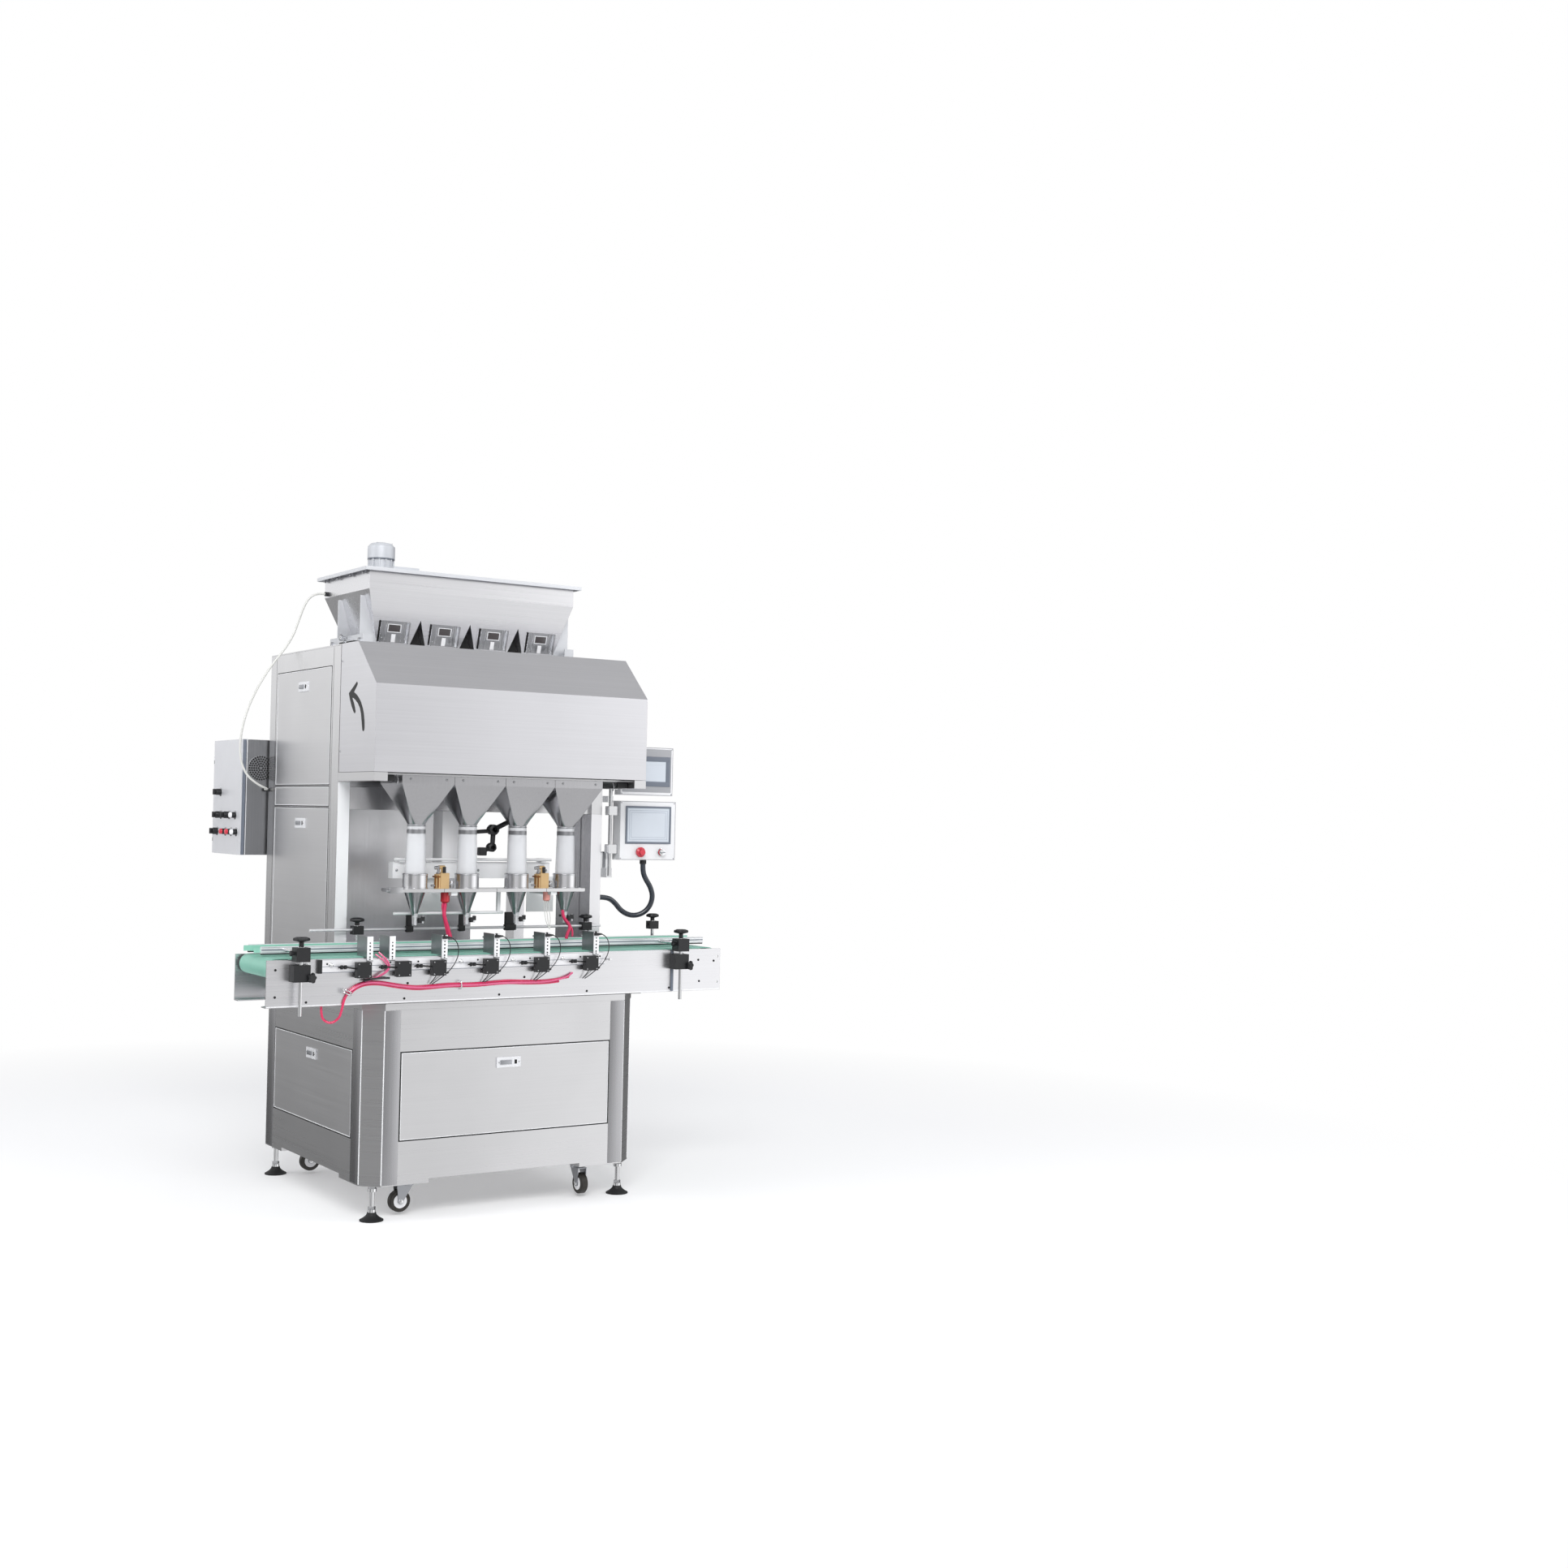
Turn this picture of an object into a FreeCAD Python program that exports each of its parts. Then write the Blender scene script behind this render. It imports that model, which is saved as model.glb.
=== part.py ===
import FreeCAD, Part
import math, os, re
import Sketcher

# Four-lane linear weigher and filler on a cabinet base, with its length of conveyor.
# Lengths are millimetres. The model is laid out from the cabinet's front left corner
# on the floor (X right along the conveyor, Y back, Z up) and every piece is then moved
# so that the origin is the middle of the footprint.

doc = FreeCAD.newDocument("linear_weigher")
sheet = doc.addObject("Spreadsheet::Sheet", "D")

SIZES = [
    # cabinet
    ("base_w", 1040), ("base_d", 1025), ("base_low", 118), ("base_high", 710),
    ("cap_high", 735), ("cap_lip", 3), ("corner_cut", 58),
    ("panel_in_x", 117), ("panel_in_y", 134), ("panel_low", 266), ("panel_high", 567),
    ("panel_thick", 12), ("panel_gap", 3), ("skirt_end", 230), ("skirt_step", 14),
    ("latch_w", 92), ("latch_tall", 36), ("latch_deep", 4),
    # feet and casters
    ("foot_in", 46), ("pad_r", 40), ("pad_tall", 28), ("pad_edge", 4), ("stud_r", 8), ("nut_r", 15), ("nut_tall", 10),
    ("caster_x", 190), ("caster_y", 90), ("wheel_r", 37.5), ("wheel_w", 26), ("wheel_lift", 10),
    ("trail", 28), ("fork_gap", 2), ("fork_wall", 3), ("caster_plate", 4), ("plate_side", 70),
    ("swivel_r", 24), ("swivel_tall", 10), ("axle_r", 5), ("fit", 0.1), ("race_gap", 0.4),
    # rear column
    ("col_over", 15), ("col_y0", 329), ("col_y1", 1035), ("col_high", 1957), ("col_cap", 5),
    ("col_wall", 45), ("post_d", 75), ("head_low", 1384), ("beam_high", 1462), ("beam_y", 344),
    ("head_y", 374), ("side_y0", 410), ("side_y1", 960), ("side_low", 745), ("band_low", 1392),
    ("band_high", 1464), ("side_high", 1890), ("side_deep", 6), ("side_gap", 4),
    ("back_in", 205), ("back_thick", 5), ("duct_y1", 600), ("duct_gap", 10),
    # swinging hood
    ("hood_y0", 5), ("hood_low", 1512), ("hood_knee", 1810), ("hood_top_y", 173),
    ("hood_sheet", 3), ("hood_gap", 5), ("knuckle_r", 6), ("pin_r", 3), ("leaf", 2),
    ("leaf_w", 30), ("hinge_len", 90), ("hinge_in", 130),
    # weigh frame, funnels, tubes, nozzles
    ("rail_w", 48), ("rail_low", 1481), ("rail_high", 1511), ("deck_y0", 60), ("deck_thick", 6),
    ("lane_x", 228), ("lane_pitch", 196), ("lane_y", 170), ("funnel_w", 195), ("funnel_d", 190),
    ("flange_low", 1477), ("funnel_low", 1335), ("sheet_t", 2), ("neck_r", 30), ("spigot_r", 29),
    ("spigot_len", 26), ("tube_wall", 2.5), ("tube_low", 1150), ("tube_flare", 4.5),
    ("cup_r", 43), ("cup_high", 1163), ("plate_high", 1112), ("plate_thick", 12),
    ("plate_x0", 125), ("plate_x1", 874), ("plate_y0", 120), ("plate_y1", 220),
    ("cone_r", 40), ("cone_low", 1017), ("tip_r", 9), ("tip_low", 986),
    ("vib_w", 43), ("vib_tall", 54), ("carrier_x0", 191), ("carrier_x1", 810),
    ("carrier_y0", 280), ("carrier_y1", 320), ("carrier_low", 1143), ("carrier_high", 1201),
    ("lift_x0", 395), ("lift_x1", 495), ("lift_y1", 400), ("arm_w", 24), ("guard_r", 5),
    ("shield_x1", 301), ("shield_w1", 89), ("shield_x2", 729), ("shield_w2", 110),
    ("shield_y", 300), ("shield_t", 3), ("shield_low", 1024), ("guard_y", 268), ("guard_z", 1211), ("low_rod_y", 205), ("low_rod_z", 1023),
    # weighing parts inside the hood
    ("bucket_w", 150), ("bucket_d", 116), ("bucket_low", 1532), ("bucket_high", 1670),
    ("drive_w", 112), ("drive_y0", 258), ("drive_low", 1545), ("tray_low", 1800),
    ("tray_high", 1850), ("tray_w", 150), ("tray_y0", 128),
    # feed hopper
    ("hop_x0", 114), ("hop_x1", 932), ("hop_y0", 369), ("hop_y1", 800), ("hop_bend", 2171),
    ("hop_high", 2242), ("hop_rim", 5), ("hop_lip", 22), ("hop_wall", 3), ("hop_in_x", 61),
    ("hop_in_front", 64), ("hop_in_rear", 110), ("notch_half", 38), ("notch_tall", 112),
    ("gate_w", 112), ("gate_tall", 78), ("gate_thick", 3), ("gate_up", 28), ("bar_out", 14),
    ("bar_thick", 5), ("bar_tall", 48), ("bar_y0", 384), ("bar_y1", 697), ("motor_x", 244),
    ("motor_y", 584), ("motor_r", 48), ("motor_tall", 88), ("fin_w", 5), ("fin_out", 5), ("dome_tall", 26), ("bridge_t", 8),
    # conveyor
    ("conv_x0", -360), ("conv_x1", 1382), ("conv_y0", -18), ("conv_y1", 290), ("conv_high", 890),
    ("conv_plate", 4), ("conv_flange", 40), ("belt_t", 3), ("belt_up", 3), ("roller_r", 30),
    ("belt_gap", 20), ("roller_in", 40), ("shaft_r", 8), ("bed_t", 6), ("joint_hole_r", 4.5),
    ("joint_in", 14), ("lane_w", 96), ("rail_t", 12), ("guide_low", 903), ("guide_high", 925),
    ("liner_t", 4), ("guide_x0", -335), ("post_r", 6), ("post_out", 32), ("post_x0", -257),
    ("post_x1", 1187), ("post_low", 709), ("block_w", 46), ("block_low", 886), ("block_high", 932),
    ("clamp_low", 820), ("clamp_high", 875), ("clamp_w", 56), ("knob_r", 24), ("knob_high", 966),
    ("rear_x0", 74), ("rear_x1", 982), ("rear_x2", 1276), ("rear_rod_z", 962), ("rear_rod_r", 5),
    ("rear_rod_x0", -98), ("rear_rod_x1", 1045), ("bar_x0", -181), ("bar_x1", 880), ("bar_low", 845),
    ("bar_high", 886), ("bar_deep", 10), ("box_w", 50), ("box_low", 826), ("box_tall", 52),
    ("box_deep", 25), ("box_x1", -40), ("box_x2", 101), ("stop_high", 962),
    ("stop_back", 82), ("stop_w", 22), ("stop_t", 3), ("stop_shift", 15), ("stop_shift2", -47), ("stop_r", 8),
    ("hose_r", 4), ("hose_gap", 0.3),
    # operator panels
    ("hmi_out", 27), ("hmi_w", 249), ("hmi_y0", 290), ("hmi_d", 53), ("hmi_low", 1212),
    ("hmi_tall", 226), ("disp_low", 1461), ("disp_tall", 186), ("disp_w", 232), ("rod_out", 30),
    ("rod_r", 7), ("rod_low", 1150), ("rod_high", 1500), ("stop_btn_r", 19), ("key_r", 13),
    ("btn_z", 30), ("stop_btn_x", 90), ("key_x", 184), ("conduit_r", 10), ("gland_r", 13), ("gland_tall", 16), ("gland_x", 122),
    # control box behind the column
    ("cab_x0", -100), ("cab_w", 240), ("cab_y0", 1050), ("cab_d", 330), ("cab_low", 1203),
    ("cab_tall", 438), ("cab_t", 3), ("door_t", 16), ("door_gap", 2), ("switch_r", 13), ("switch_deep", 20), ("lamp_r", 11), ("lamp_deep", 16), ("vent_r", 50),
    ("cable_r", 4), ("cab_pin_r", 4), ("lead_gland_r", 8), ("lead_gland_tall", 12), ("lead_x", 88),
    ("lead_z", 250), ("lead_y", 32), ("duct_z", 331), ("duct_y", 41),
]
# Sizes that follow from others.
DERIVED = {"col_w": "(base_w+col_over)", "back_x": "(col_w-back_in)",
           "rod_x": "(col_w+rod_out)", "hmi_x0": "(rod_x+hmi_out)"}
NAMES = set()
V = {}
for row, (alias, number) in enumerate(SIZES, 1):
    sheet.set("A%d" % row, alias)
    sheet.set("B%d" % row, str(number))
    sheet.setAlias("B%d" % row, alias)
    NAMES.add(alias)
    V[alias] = float(number)
doc.recompute()

# The footprint's middle: conveyor ends left and right, front knobs and rear door knuckles.
MID_X = "((conv_x0+conv_x1)/2)"
MID_Y = "((conv_y0-post_out-knob_r+cab_y0+cab_d+cab_pin_r)/2)"


def ex(text):
    """The expression for a sum of sizes, with each derived size written out."""
    def swap(m):
        word = m.group(0)
        if word in DERIVED:
            return ex(DERIVED[word])
        return "D." + word if word in NAMES else word
    return re.sub(r"[A-Za-z_][A-Za-z_0-9]*", swap, str(text))


def val(text):
    """The number that a size or a sum of sizes has in the sheet."""
    return float(reckon(str(text)))


def reckon(text):
    tokens = re.findall(r"[A-Za-z_][A-Za-z_0-9]*|[0-9.]+|[-+*/()]", text)
    pos = [0]

    def peek():
        return tokens[pos[0]] if pos[0] < len(tokens) else ""

    def take():
        pos[0] += 1
        return tokens[pos[0] - 1]

    def atom():
        t = take()
        if t == "(":
            value = add()
            take()
            return value
        if t == "-":
            return -atom()
        if t == "+":
            return atom()
        if t in DERIVED:
            return val(DERIVED[t])
        return V[t] if t in V else float(t)

    def mul():
        value = atom()
        while peek() in ("*", "/"):
            value = value * atom() if take() == "*" else value / atom()
        return value

    def add():
        value = mul()
        while peek() in ("+", "-"):
            value = value + mul() if take() == "+" else value - mul()
        return value

    return add()


TURN = {"X": FreeCAD.Rotation(FreeCAD.Vector(0, 0, 1), FreeCAD.Vector(1, 0, 0)),
        "Y": FreeCAD.Rotation(FreeCAD.Vector(0, 0, 1), FreeCAD.Vector(0, 1, 0)),
        "Z": FreeCAD.Rotation()}
count = [0]


def new(kind, name):
    count[0] += 1
    return doc.addObject(kind, "%s_%d" % (name, count[0]))


def place(obj, x, y, z):
    obj.setExpression("Placement.Base.x", "%s-%s" % (ex(x), ex(MID_X)))
    obj.setExpression("Placement.Base.y", "%s-%s" % (ex(y), ex(MID_Y)))
    obj.setExpression("Placement.Base.z", ex(z))
    return obj


def box(x0, x1, y0, y1, z0, z1):
    b = new("Part::Box", "box")
    b.setExpression("Length", ex("(%s)-(%s)" % (x1, x0)))
    b.setExpression("Width", ex("(%s)-(%s)" % (y1, y0)))
    b.setExpression("Height", ex("(%s)-(%s)" % (z1, z0)))
    return place(b, x0, y0, z0)


def cyl(x, y, z, r, length, axis="Z"):
    c = new("Part::Cylinder", "cylinder")
    c.setExpression("Radius", ex(r))
    c.setExpression("Height", ex(length))
    c.Placement = FreeCAD.Placement(FreeCAD.Vector(), TURN[axis])
    return place(c, x, y, z)


def fuse(*parts):
    f = new("Part::MultiFuse", "fuse")
    f.Shapes = list(parts)
    f.Refine = True
    return f


def cut(base, *tools):
    c = new("Part::Cut", "cut")
    c.Base = base
    c.Tool = tools[0] if len(tools) == 1 else fuse(*tools)
    c.Refine = True
    return c


def polygon(sketch, points):
    """A closed outline whose corners are tied to the sheet by X and Y distances."""
    n = len(points)
    nums = [(val(a), val(b)) for a, b in points]
    for i in range(n):
        a, b = nums[i], nums[(i + 1) % n]
        sketch.addGeometry(Part.LineSegment(FreeCAD.Vector(a[0], a[1], 0),
                                            FreeCAD.Vector(b[0], b[1], 0)))
    for i in range(n):
        sketch.addConstraint(Sketcher.Constraint("Coincident", i, 2, (i + 1) % n, 1))
    for i, (px, py) in enumerate(points):
        for kind, expr, number, line in (("DistanceX", px, nums[i][0], -2),
                                         ("DistanceY", py, nums[i][1], -1)):
            if str(expr) == "0":
                sketch.addConstraint(Sketcher.Constraint("PointOnObject", i, 1, line))
                continue
            k = sketch.addConstraint(Sketcher.Constraint(kind, -1, 1, i, 1, number))
            name = "c%d" % k
            sketch.renameConstraint(k, name)
            sketch.setExpression("Constraints." + name, ex(expr))


def plane_of(body, role):
    return [p for p in body.Origin.OriginFeatures if p.Role == role][0]


def pad(plane, points, length, x, y, z):
    """An extruded outline: plane XY rises along Z, XZ runs back along Y, YZ runs right along X."""
    body = new("PartDesign::Body", "body")
    sketch = body.newObject("Sketcher::SketchObject", "outline_%d" % count[0])
    sketch.AttachmentSupport = (plane_of(body, plane + "_Plane"), [""])
    sketch.MapMode = "FlatFace"
    polygon(sketch, points)
    p = body.newObject("PartDesign::Pad", "pad_%d" % count[0])
    p.Profile = sketch
    p.setExpression("Length", ex(length))
    p.Reversed = plane == "XZ"
    body.Tip = p
    return place(body, x, y, z)


def turned(points, x, y, z, axis="Z"):
    """A turned piece: the outline (radius, height) goes once round its own axis."""
    body = new("PartDesign::Body", "body")
    sketch = body.newObject("Sketcher::SketchObject", "profile_%d" % count[0])
    sketch.AttachmentSupport = (plane_of(body, "XZ_Plane"), [""])
    sketch.MapMode = "FlatFace"
    polygon(sketch, points)
    r = body.newObject("PartDesign::Revolution", "turn_%d" % count[0])
    r.Profile = sketch
    r.ReferenceAxis = (sketch, ["V_Axis"])
    r.Angle = 360
    body.Tip = r
    body.Placement = FreeCAD.Placement(FreeCAD.Vector(), TURN[axis])
    return place(body, x, y, z)


def wedge(x0, x1, y0, y1, z0, z1, ax0, ax1, ay0, ay1):
    """A tapered block from the rectangle x0..x1, y0..y1 at z0 to ax0..ax1, ay0..ay1 at z1."""
    w = new("Part::Wedge", "wedge")
    for prop, expr in (("Xmin", "0"), ("Xmax", "(%s)-(%s)" % (x1, x0)), ("Ymin", "0"),
                       ("Ymax", "(%s)-(%s)" % (z1, z0)), ("Zmin", "0"), ("Zmax", "(%s)-(%s)" % (y1, y0)),
                       ("X2min", "(%s)-(%s)" % (ax0, x0)), ("X2max", "(%s)-(%s)" % (ax1, x0)),
                       ("Z2min", "(%s)-(%s)" % (y1, ay1)), ("Z2max", "(%s)-(%s)" % (y1, ay0))):
        w.setExpression(prop, ex(expr))
    w.Placement = FreeCAD.Placement(FreeCAD.Vector(), FreeCAD.Rotation(FreeCAD.Vector(1, 0, 0), 90))
    return place(w, x0, y1, z0)


NODES = []


def node(name, *parts):
    obj = parts[0]
    if len(parts) > 1:
        obj = new("Part::Compound", name)
        obj.Links = list(parts)
    obj.Label = name
    NODES.append(obj)
    return obj


def lane(i):
    return "(lane_x+%d*lane_pitch)" % i


# Cabinet: an octagonal housing with recesses for the lift-off panels, under a lipped cap.
def octagon(out):
    a, b = "(corner_cut)", "(0-(%s))" % out
    w, d = "(base_w+(%s))" % out, "(base_d+(%s))" % out
    return [(a, b), ("base_w-" + a, b), (w, a), (w, "base_d-" + a),
            ("base_w-" + a, d), (a, d), (b, "base_d-" + a), (b, a)]


shell = pad("XY", octagon("0"), "base_high-base_low", "0", "0", "base_low")
recesses = [box("panel_in_x", "base_w-panel_in_x", "0", "panel_thick", "panel_low", "panel_high"),
            box("panel_in_x", "base_w-panel_in_x", "base_d-panel_thick", "base_d", "panel_low", "panel_high"),
            box("0", "panel_thick", "panel_in_y", "base_d-panel_in_y", "panel_low", "panel_high"),
            box("base_w-panel_thick", "base_w", "panel_in_y", "base_d-panel_in_y", "panel_low", "panel_high"),
            box("skirt_end", "base_w-skirt_end", "0", "base_d", "base_low", "base_low+skirt_step"),
            box("0", "base_w", "skirt_end", "base_d-skirt_end", "base_low", "base_low+skirt_step")]
node("base_housing", cut(shell, *recesses))
node("base_top_cap", pad("XY", octagon("cap_lip"), "cap_high-base_high", "0", "0", "base_high"))
node("base_access_panels",
     box("panel_in_x+panel_gap", "base_w-panel_in_x-panel_gap", "0", "panel_thick",
         "panel_low+panel_gap", "panel_high-panel_gap"),
     box("panel_in_x+panel_gap", "base_w-panel_in_x-panel_gap", "base_d-panel_thick", "base_d",
         "panel_low+panel_gap", "panel_high-panel_gap"),
     box("0", "panel_thick", "panel_in_y+panel_gap", "base_d-panel_in_y-panel_gap",
         "panel_low+panel_gap", "panel_high-panel_gap"),
     box("base_w-panel_thick", "base_w", "panel_in_y+panel_gap", "base_d-panel_in_y-panel_gap",
         "panel_low+panel_gap", "panel_high-panel_gap"))

# Levelling feet: a bell-shaped pad and a stud near each corner.
bell = [("nut_r+(pad_r-nut_r)*%.4f" % (1 - k / 6) ** 1.9, "pad_edge+(pad_tall-pad_edge)*%.4f" % (k / 6))
        for k in range(7)]
pads, studs = [], []
for fx in ("foot_in", "base_w-foot_in"):
    for fy in ("foot_in", "base_d-foot_in"):
        pads.append(turned([("0", "0"), ("pad_r", "0")] + bell + [("0", "pad_tall")], fx, fy, "0"))
        studs.append(turned([("0", "0"), ("nut_r-2", "0"), ("nut_r-2", "nut_tall"), ("stud_r", "nut_tall"),
                             ("stud_r", "base_low-pad_tall-2*nut_tall"), ("nut_r", "base_low-pad_tall-2*nut_tall"),
                             ("nut_r", "base_low-pad_tall-nut_tall"), ("stud_r", "base_low-pad_tall-nut_tall"),
                             ("stud_r", "base_low-pad_tall"), ("0", "base_low-pad_tall")],
                            fx, fy, "pad_tall"))
node("foot_studs", *studs)
node("foot_pads", *pads)

# Swivel casters: plate and race, fork on a king pin, wheel on an axle. Wheels clear the floor.
axle_z = "(wheel_r+wheel_lift)"
race_low = "(base_low-caster_plate-swivel_tall)"
plates = []
corners = [("fl", "caster_x", "caster_y", (-1, 0)), ("fr", "base_w-caster_x", "caster_y", (0, -1)),
           ("rl", "caster_x", "base_d-caster_y", (-1, 0)), ("rr", "base_w-caster_x", "base_d-caster_y", (0, 1))]
for tag, cx, cy, way in corners:
    plate = box("%s-plate_side/2" % cx, "%s+plate_side/2" % cx, "%s-plate_side/2" % cy,
                "%s+plate_side/2" % cy, "base_low-caster_plate", "base_low")
    pin = turned([("0", "0"), ("axle_r", "0"), ("axle_r", "swivel_tall"), ("0", "swivel_tall")], cx, cy, race_low)
    plates.append(fuse(plate, pin))
node("caster_plates", *plates)
wheel_bodies = []
for tag, cx, cy, way in corners:
    # Along the rolling direction u the wheel trails behind the king pin; v is the axle direction.
    top = "(%s-race_gap)" % ("base_low-caster_plate")
    crown_low = "(%s-fork_wall)" % race_low
    wx = "%s+(%d)*trail" % (cx, way[0])
    wy = "%s+(%d)*trail" % (cy, way[1])
    half_in = "(wheel_w/2+fork_gap)"
    half_out = "(wheel_w/2+fork_gap+fork_wall)"
    race = cyl(cx, cy, crown_low, "swivel_r", "%s-%s" % (top, crown_low))
    bore = cyl(cx, cy, race_low + "-0.4", "axle_r+fit", "swivel_tall+5")
    if way[0]:
        s0, s1 = sorted([cx, wx], key=val)
        crown = box(s0 + "-swivel_r*0.6", s1 + "+swivel_r*0.6", cy + "-" + half_out, cy + "+" + half_out,
                    crown_low, race_low)
        leg = [(s0 + "-swivel_r*0.6", crown_low), (wx + "-axle_r-4", axle_z), (wx + "+axle_r+4", axle_z),
               (s1 + "+swivel_r*0.6", crown_low)]
        legs = [pad("XZ", leg, "fork_wall", "0", cy + "+" + a, "0") for a in (half_in, "(0-%s)" % half_out)]
        hubs = [cyl(wx, cy + "+" + a, axle_z, "axle_r+5", "fork_wall", "Y")
                for a in (half_in, "(0-%s)" % half_out)]
        axle = cyl(wx, cy + "-" + half_out, axle_z, "axle_r", "2*" + half_out, "Y")
        wheel = turned([("axle_r+fit", "0"), ("wheel_r-3", "0"), ("wheel_r", "3"), ("wheel_r", "wheel_w-3"),
                        ("wheel_r-3", "wheel_w"), ("axle_r+fit", "wheel_w")], wx, cy + "-wheel_w/2", axle_z, "Y")
    else:
        s0, s1 = sorted([cy, wy], key=val)
        crown = box(cx + "-" + half_out, cx + "+" + half_out, s0 + "-swivel_r*0.6", s1 + "+swivel_r*0.6",
                    crown_low, race_low)
        leg = [(s0 + "-swivel_r*0.6", crown_low), (wy + "-axle_r-4", axle_z), (wy + "+axle_r+4", axle_z),
               (s1 + "+swivel_r*0.6", crown_low)]
        legs = [pad("YZ", leg, "fork_wall", cx + "+" + a, "0", "0") for a in (half_in, "(0-%s)" % half_out)]
        hubs = [cyl(cx + "+" + a, wy, axle_z, "axle_r+5", "fork_wall", "X")
                for a in (half_in, "(0-%s)" % half_out)]
        axle = cyl(cx + "-" + half_out, wy, axle_z, "axle_r", "2*" + half_out, "X")
        wheel = turned([("axle_r+fit", "0"), ("wheel_r-3", "0"), ("wheel_r", "3"), ("wheel_r", "wheel_w-3"),
                        ("wheel_r-3", "wheel_w"), ("axle_r+fit", "wheel_w")], cx + "-wheel_w/2", wy, axle_z, "X")
    fork = fuse(cut(fuse(race, crown), bore), axle, *(legs + hubs))
    node("caster_fork_" + tag, fork)
    wheel_bodies.append((tag, wheel))
for tag, wheel in wheel_bodies:
    node("caster_wheel_" + tag, wheel)

# Rear column: left side wall, right posts, the closed head above the working bay, back panel.
wall_recess = [("side_low", "band_low-side_gap"), ("band_low", "band_high"), ("band_high+side_gap", "side_high")]
left_wall = box("0", "col_wall", "col_y0", "col_y1", "cap_high", "col_high")
node("column_left_wall", cut(left_wall, *[box("0", "side_deep", "side_y0", "side_y1", a, b) for a, b in wall_recess]))
right_x = "(col_w-col_wall)"
head = fuse(box("col_wall", "col_w", "head_y", "col_y1", "head_low", "col_high"),
            box(right_x, "col_w", "col_y0", "head_y", "head_low", "col_high"),
            box("col_wall", right_x, "beam_y", "head_y", "head_low", "beam_high"))
node("column_head", cut(head, box("col_w-side_deep", "col_w", "side_y0", "side_y1", "band_high+side_gap", "side_high")))
node("column_side_panels",
     *([box("0", "side_deep", "side_y0+side_gap/2", "side_y1-side_gap/2", "%s+side_gap/2" % a, "%s-side_gap/2" % b)
        for a, b in wall_recess] +
       [box("col_w-side_deep", "col_w", "side_y0+side_gap/2", "side_y1-side_gap/2",
            "band_high+side_gap*1.5", "side_high-side_gap/2")]))
node("column_right_posts",
     box(right_x, "col_w", "col_y0", "col_y0+post_d", "cap_high", "head_low"),
     box(right_x, "col_w", "col_y1-post_d", "col_y1", "cap_high", "head_low"),
     box(right_x, "col_w-col_wall/2", "col_y0+post_d+duct_gap", "duct_y1", "cap_high", "head_low"))
node("column_top_plate", box("0", "col_w", "col_y0", "col_y1", "col_high", "col_high+col_cap"))
node("column_back_panel", box("col_wall", "back_x", "col_y1-back_thick", "col_y1", "cap_high", "head_low"))

# Latches: flush paddle latches on the cabinet and the column.
mid_panel = "((panel_low+panel_high)/2+95)"
node("panel_latches",
     box("base_w/2-latch_w/2", "base_w/2+latch_w/2", "0-latch_deep", "0", mid_panel + "-latch_tall/2", mid_panel + "+latch_tall/2"),
     box("base_w/2-latch_w/2", "base_w/2+latch_w/2", "base_d", "base_d+latch_deep", mid_panel + "-latch_tall/2", mid_panel + "+latch_tall/2"),
     box("0-latch_deep", "0", "base_d/2-latch_w/2", "base_d/2+latch_w/2", mid_panel + "-latch_tall/2", mid_panel + "+latch_tall/2"),
     box("base_w", "base_w+latch_deep", "base_d/2-latch_w/2", "base_d/2+latch_w/2", mid_panel + "-latch_tall/2", mid_panel + "+latch_tall/2"),
     *[box("0-latch_deep", "0", "(side_y0+side_y1)/2-latch_w/2", "(side_y0+side_y1)/2+latch_w/2", z, z + "+latch_tall")
       for z in ("side_high-80", "band_low-80")])

# Hood: a folded cover open underneath and behind, hinged along the top of the column.
top = "(col_high+col_cap)"
hood_y1 = "(col_y0-hood_gap)"


def hood_outline(t, low):
    return [("hood_y0+%s" % t, low), ("hood_y0+%s" % t, "hood_knee-%s*0.45" % t),
            ("hood_top_y+%s*0.4" % t, "%s-%s" % (top, t)), (hood_y1, "%s-%s" % (top, t)), (hood_y1, low)]


hood = cut(pad("YZ", hood_outline("0", "hood_low"), "col_w", "0", "0", "0"),
           pad("YZ", hood_outline("hood_sheet", "hood_low-5")[:3] +
               [(hood_y1 + "+5", "%s-hood_sheet" % top), (hood_y1 + "+5", "hood_low-5")],
               "col_w-2*hood_sheet", "hood_sheet", "0", "0"))
pin_y = "(col_y0-hood_gap/2)"
pin_z = "(%s+knuckle_r)" % top
moving, fixed, third = [], [], "(hinge_len/3)"
for hx in ("hinge_in", "col_w/2-hinge_len/2", "col_w-hinge_in-hinge_len"):
    barrel = fuse(cyl(hx + "+" + third + "+0.3", pin_y, pin_z, "knuckle_r", third + "-0.6", "X"),
                  box(hx + "+" + third + "+0.3", hx + "+2*" + third + "-0.3", pin_y + "-leaf_w", pin_y, top, top + "+leaf"))
    moving.append(cut(barrel, cyl(hx, pin_y, pin_z, "pin_r+fit", "hinge_len", "X")))
    ends = [fuse(cyl(a, pin_y, pin_z, "knuckle_r", third, "X"),
                 box(a, a + "+" + third, pin_y, pin_y + "+leaf_w", top, top + "+leaf"))
            for a in (hx, hx + "+2*" + third)]
    fixed.append(fuse(cyl(hx, pin_y, pin_z, "pin_r", "hinge_len", "X"), *ends))
node("hood_shell", fuse(hood, *moving))
node("hood_hinges", *fixed)

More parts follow.
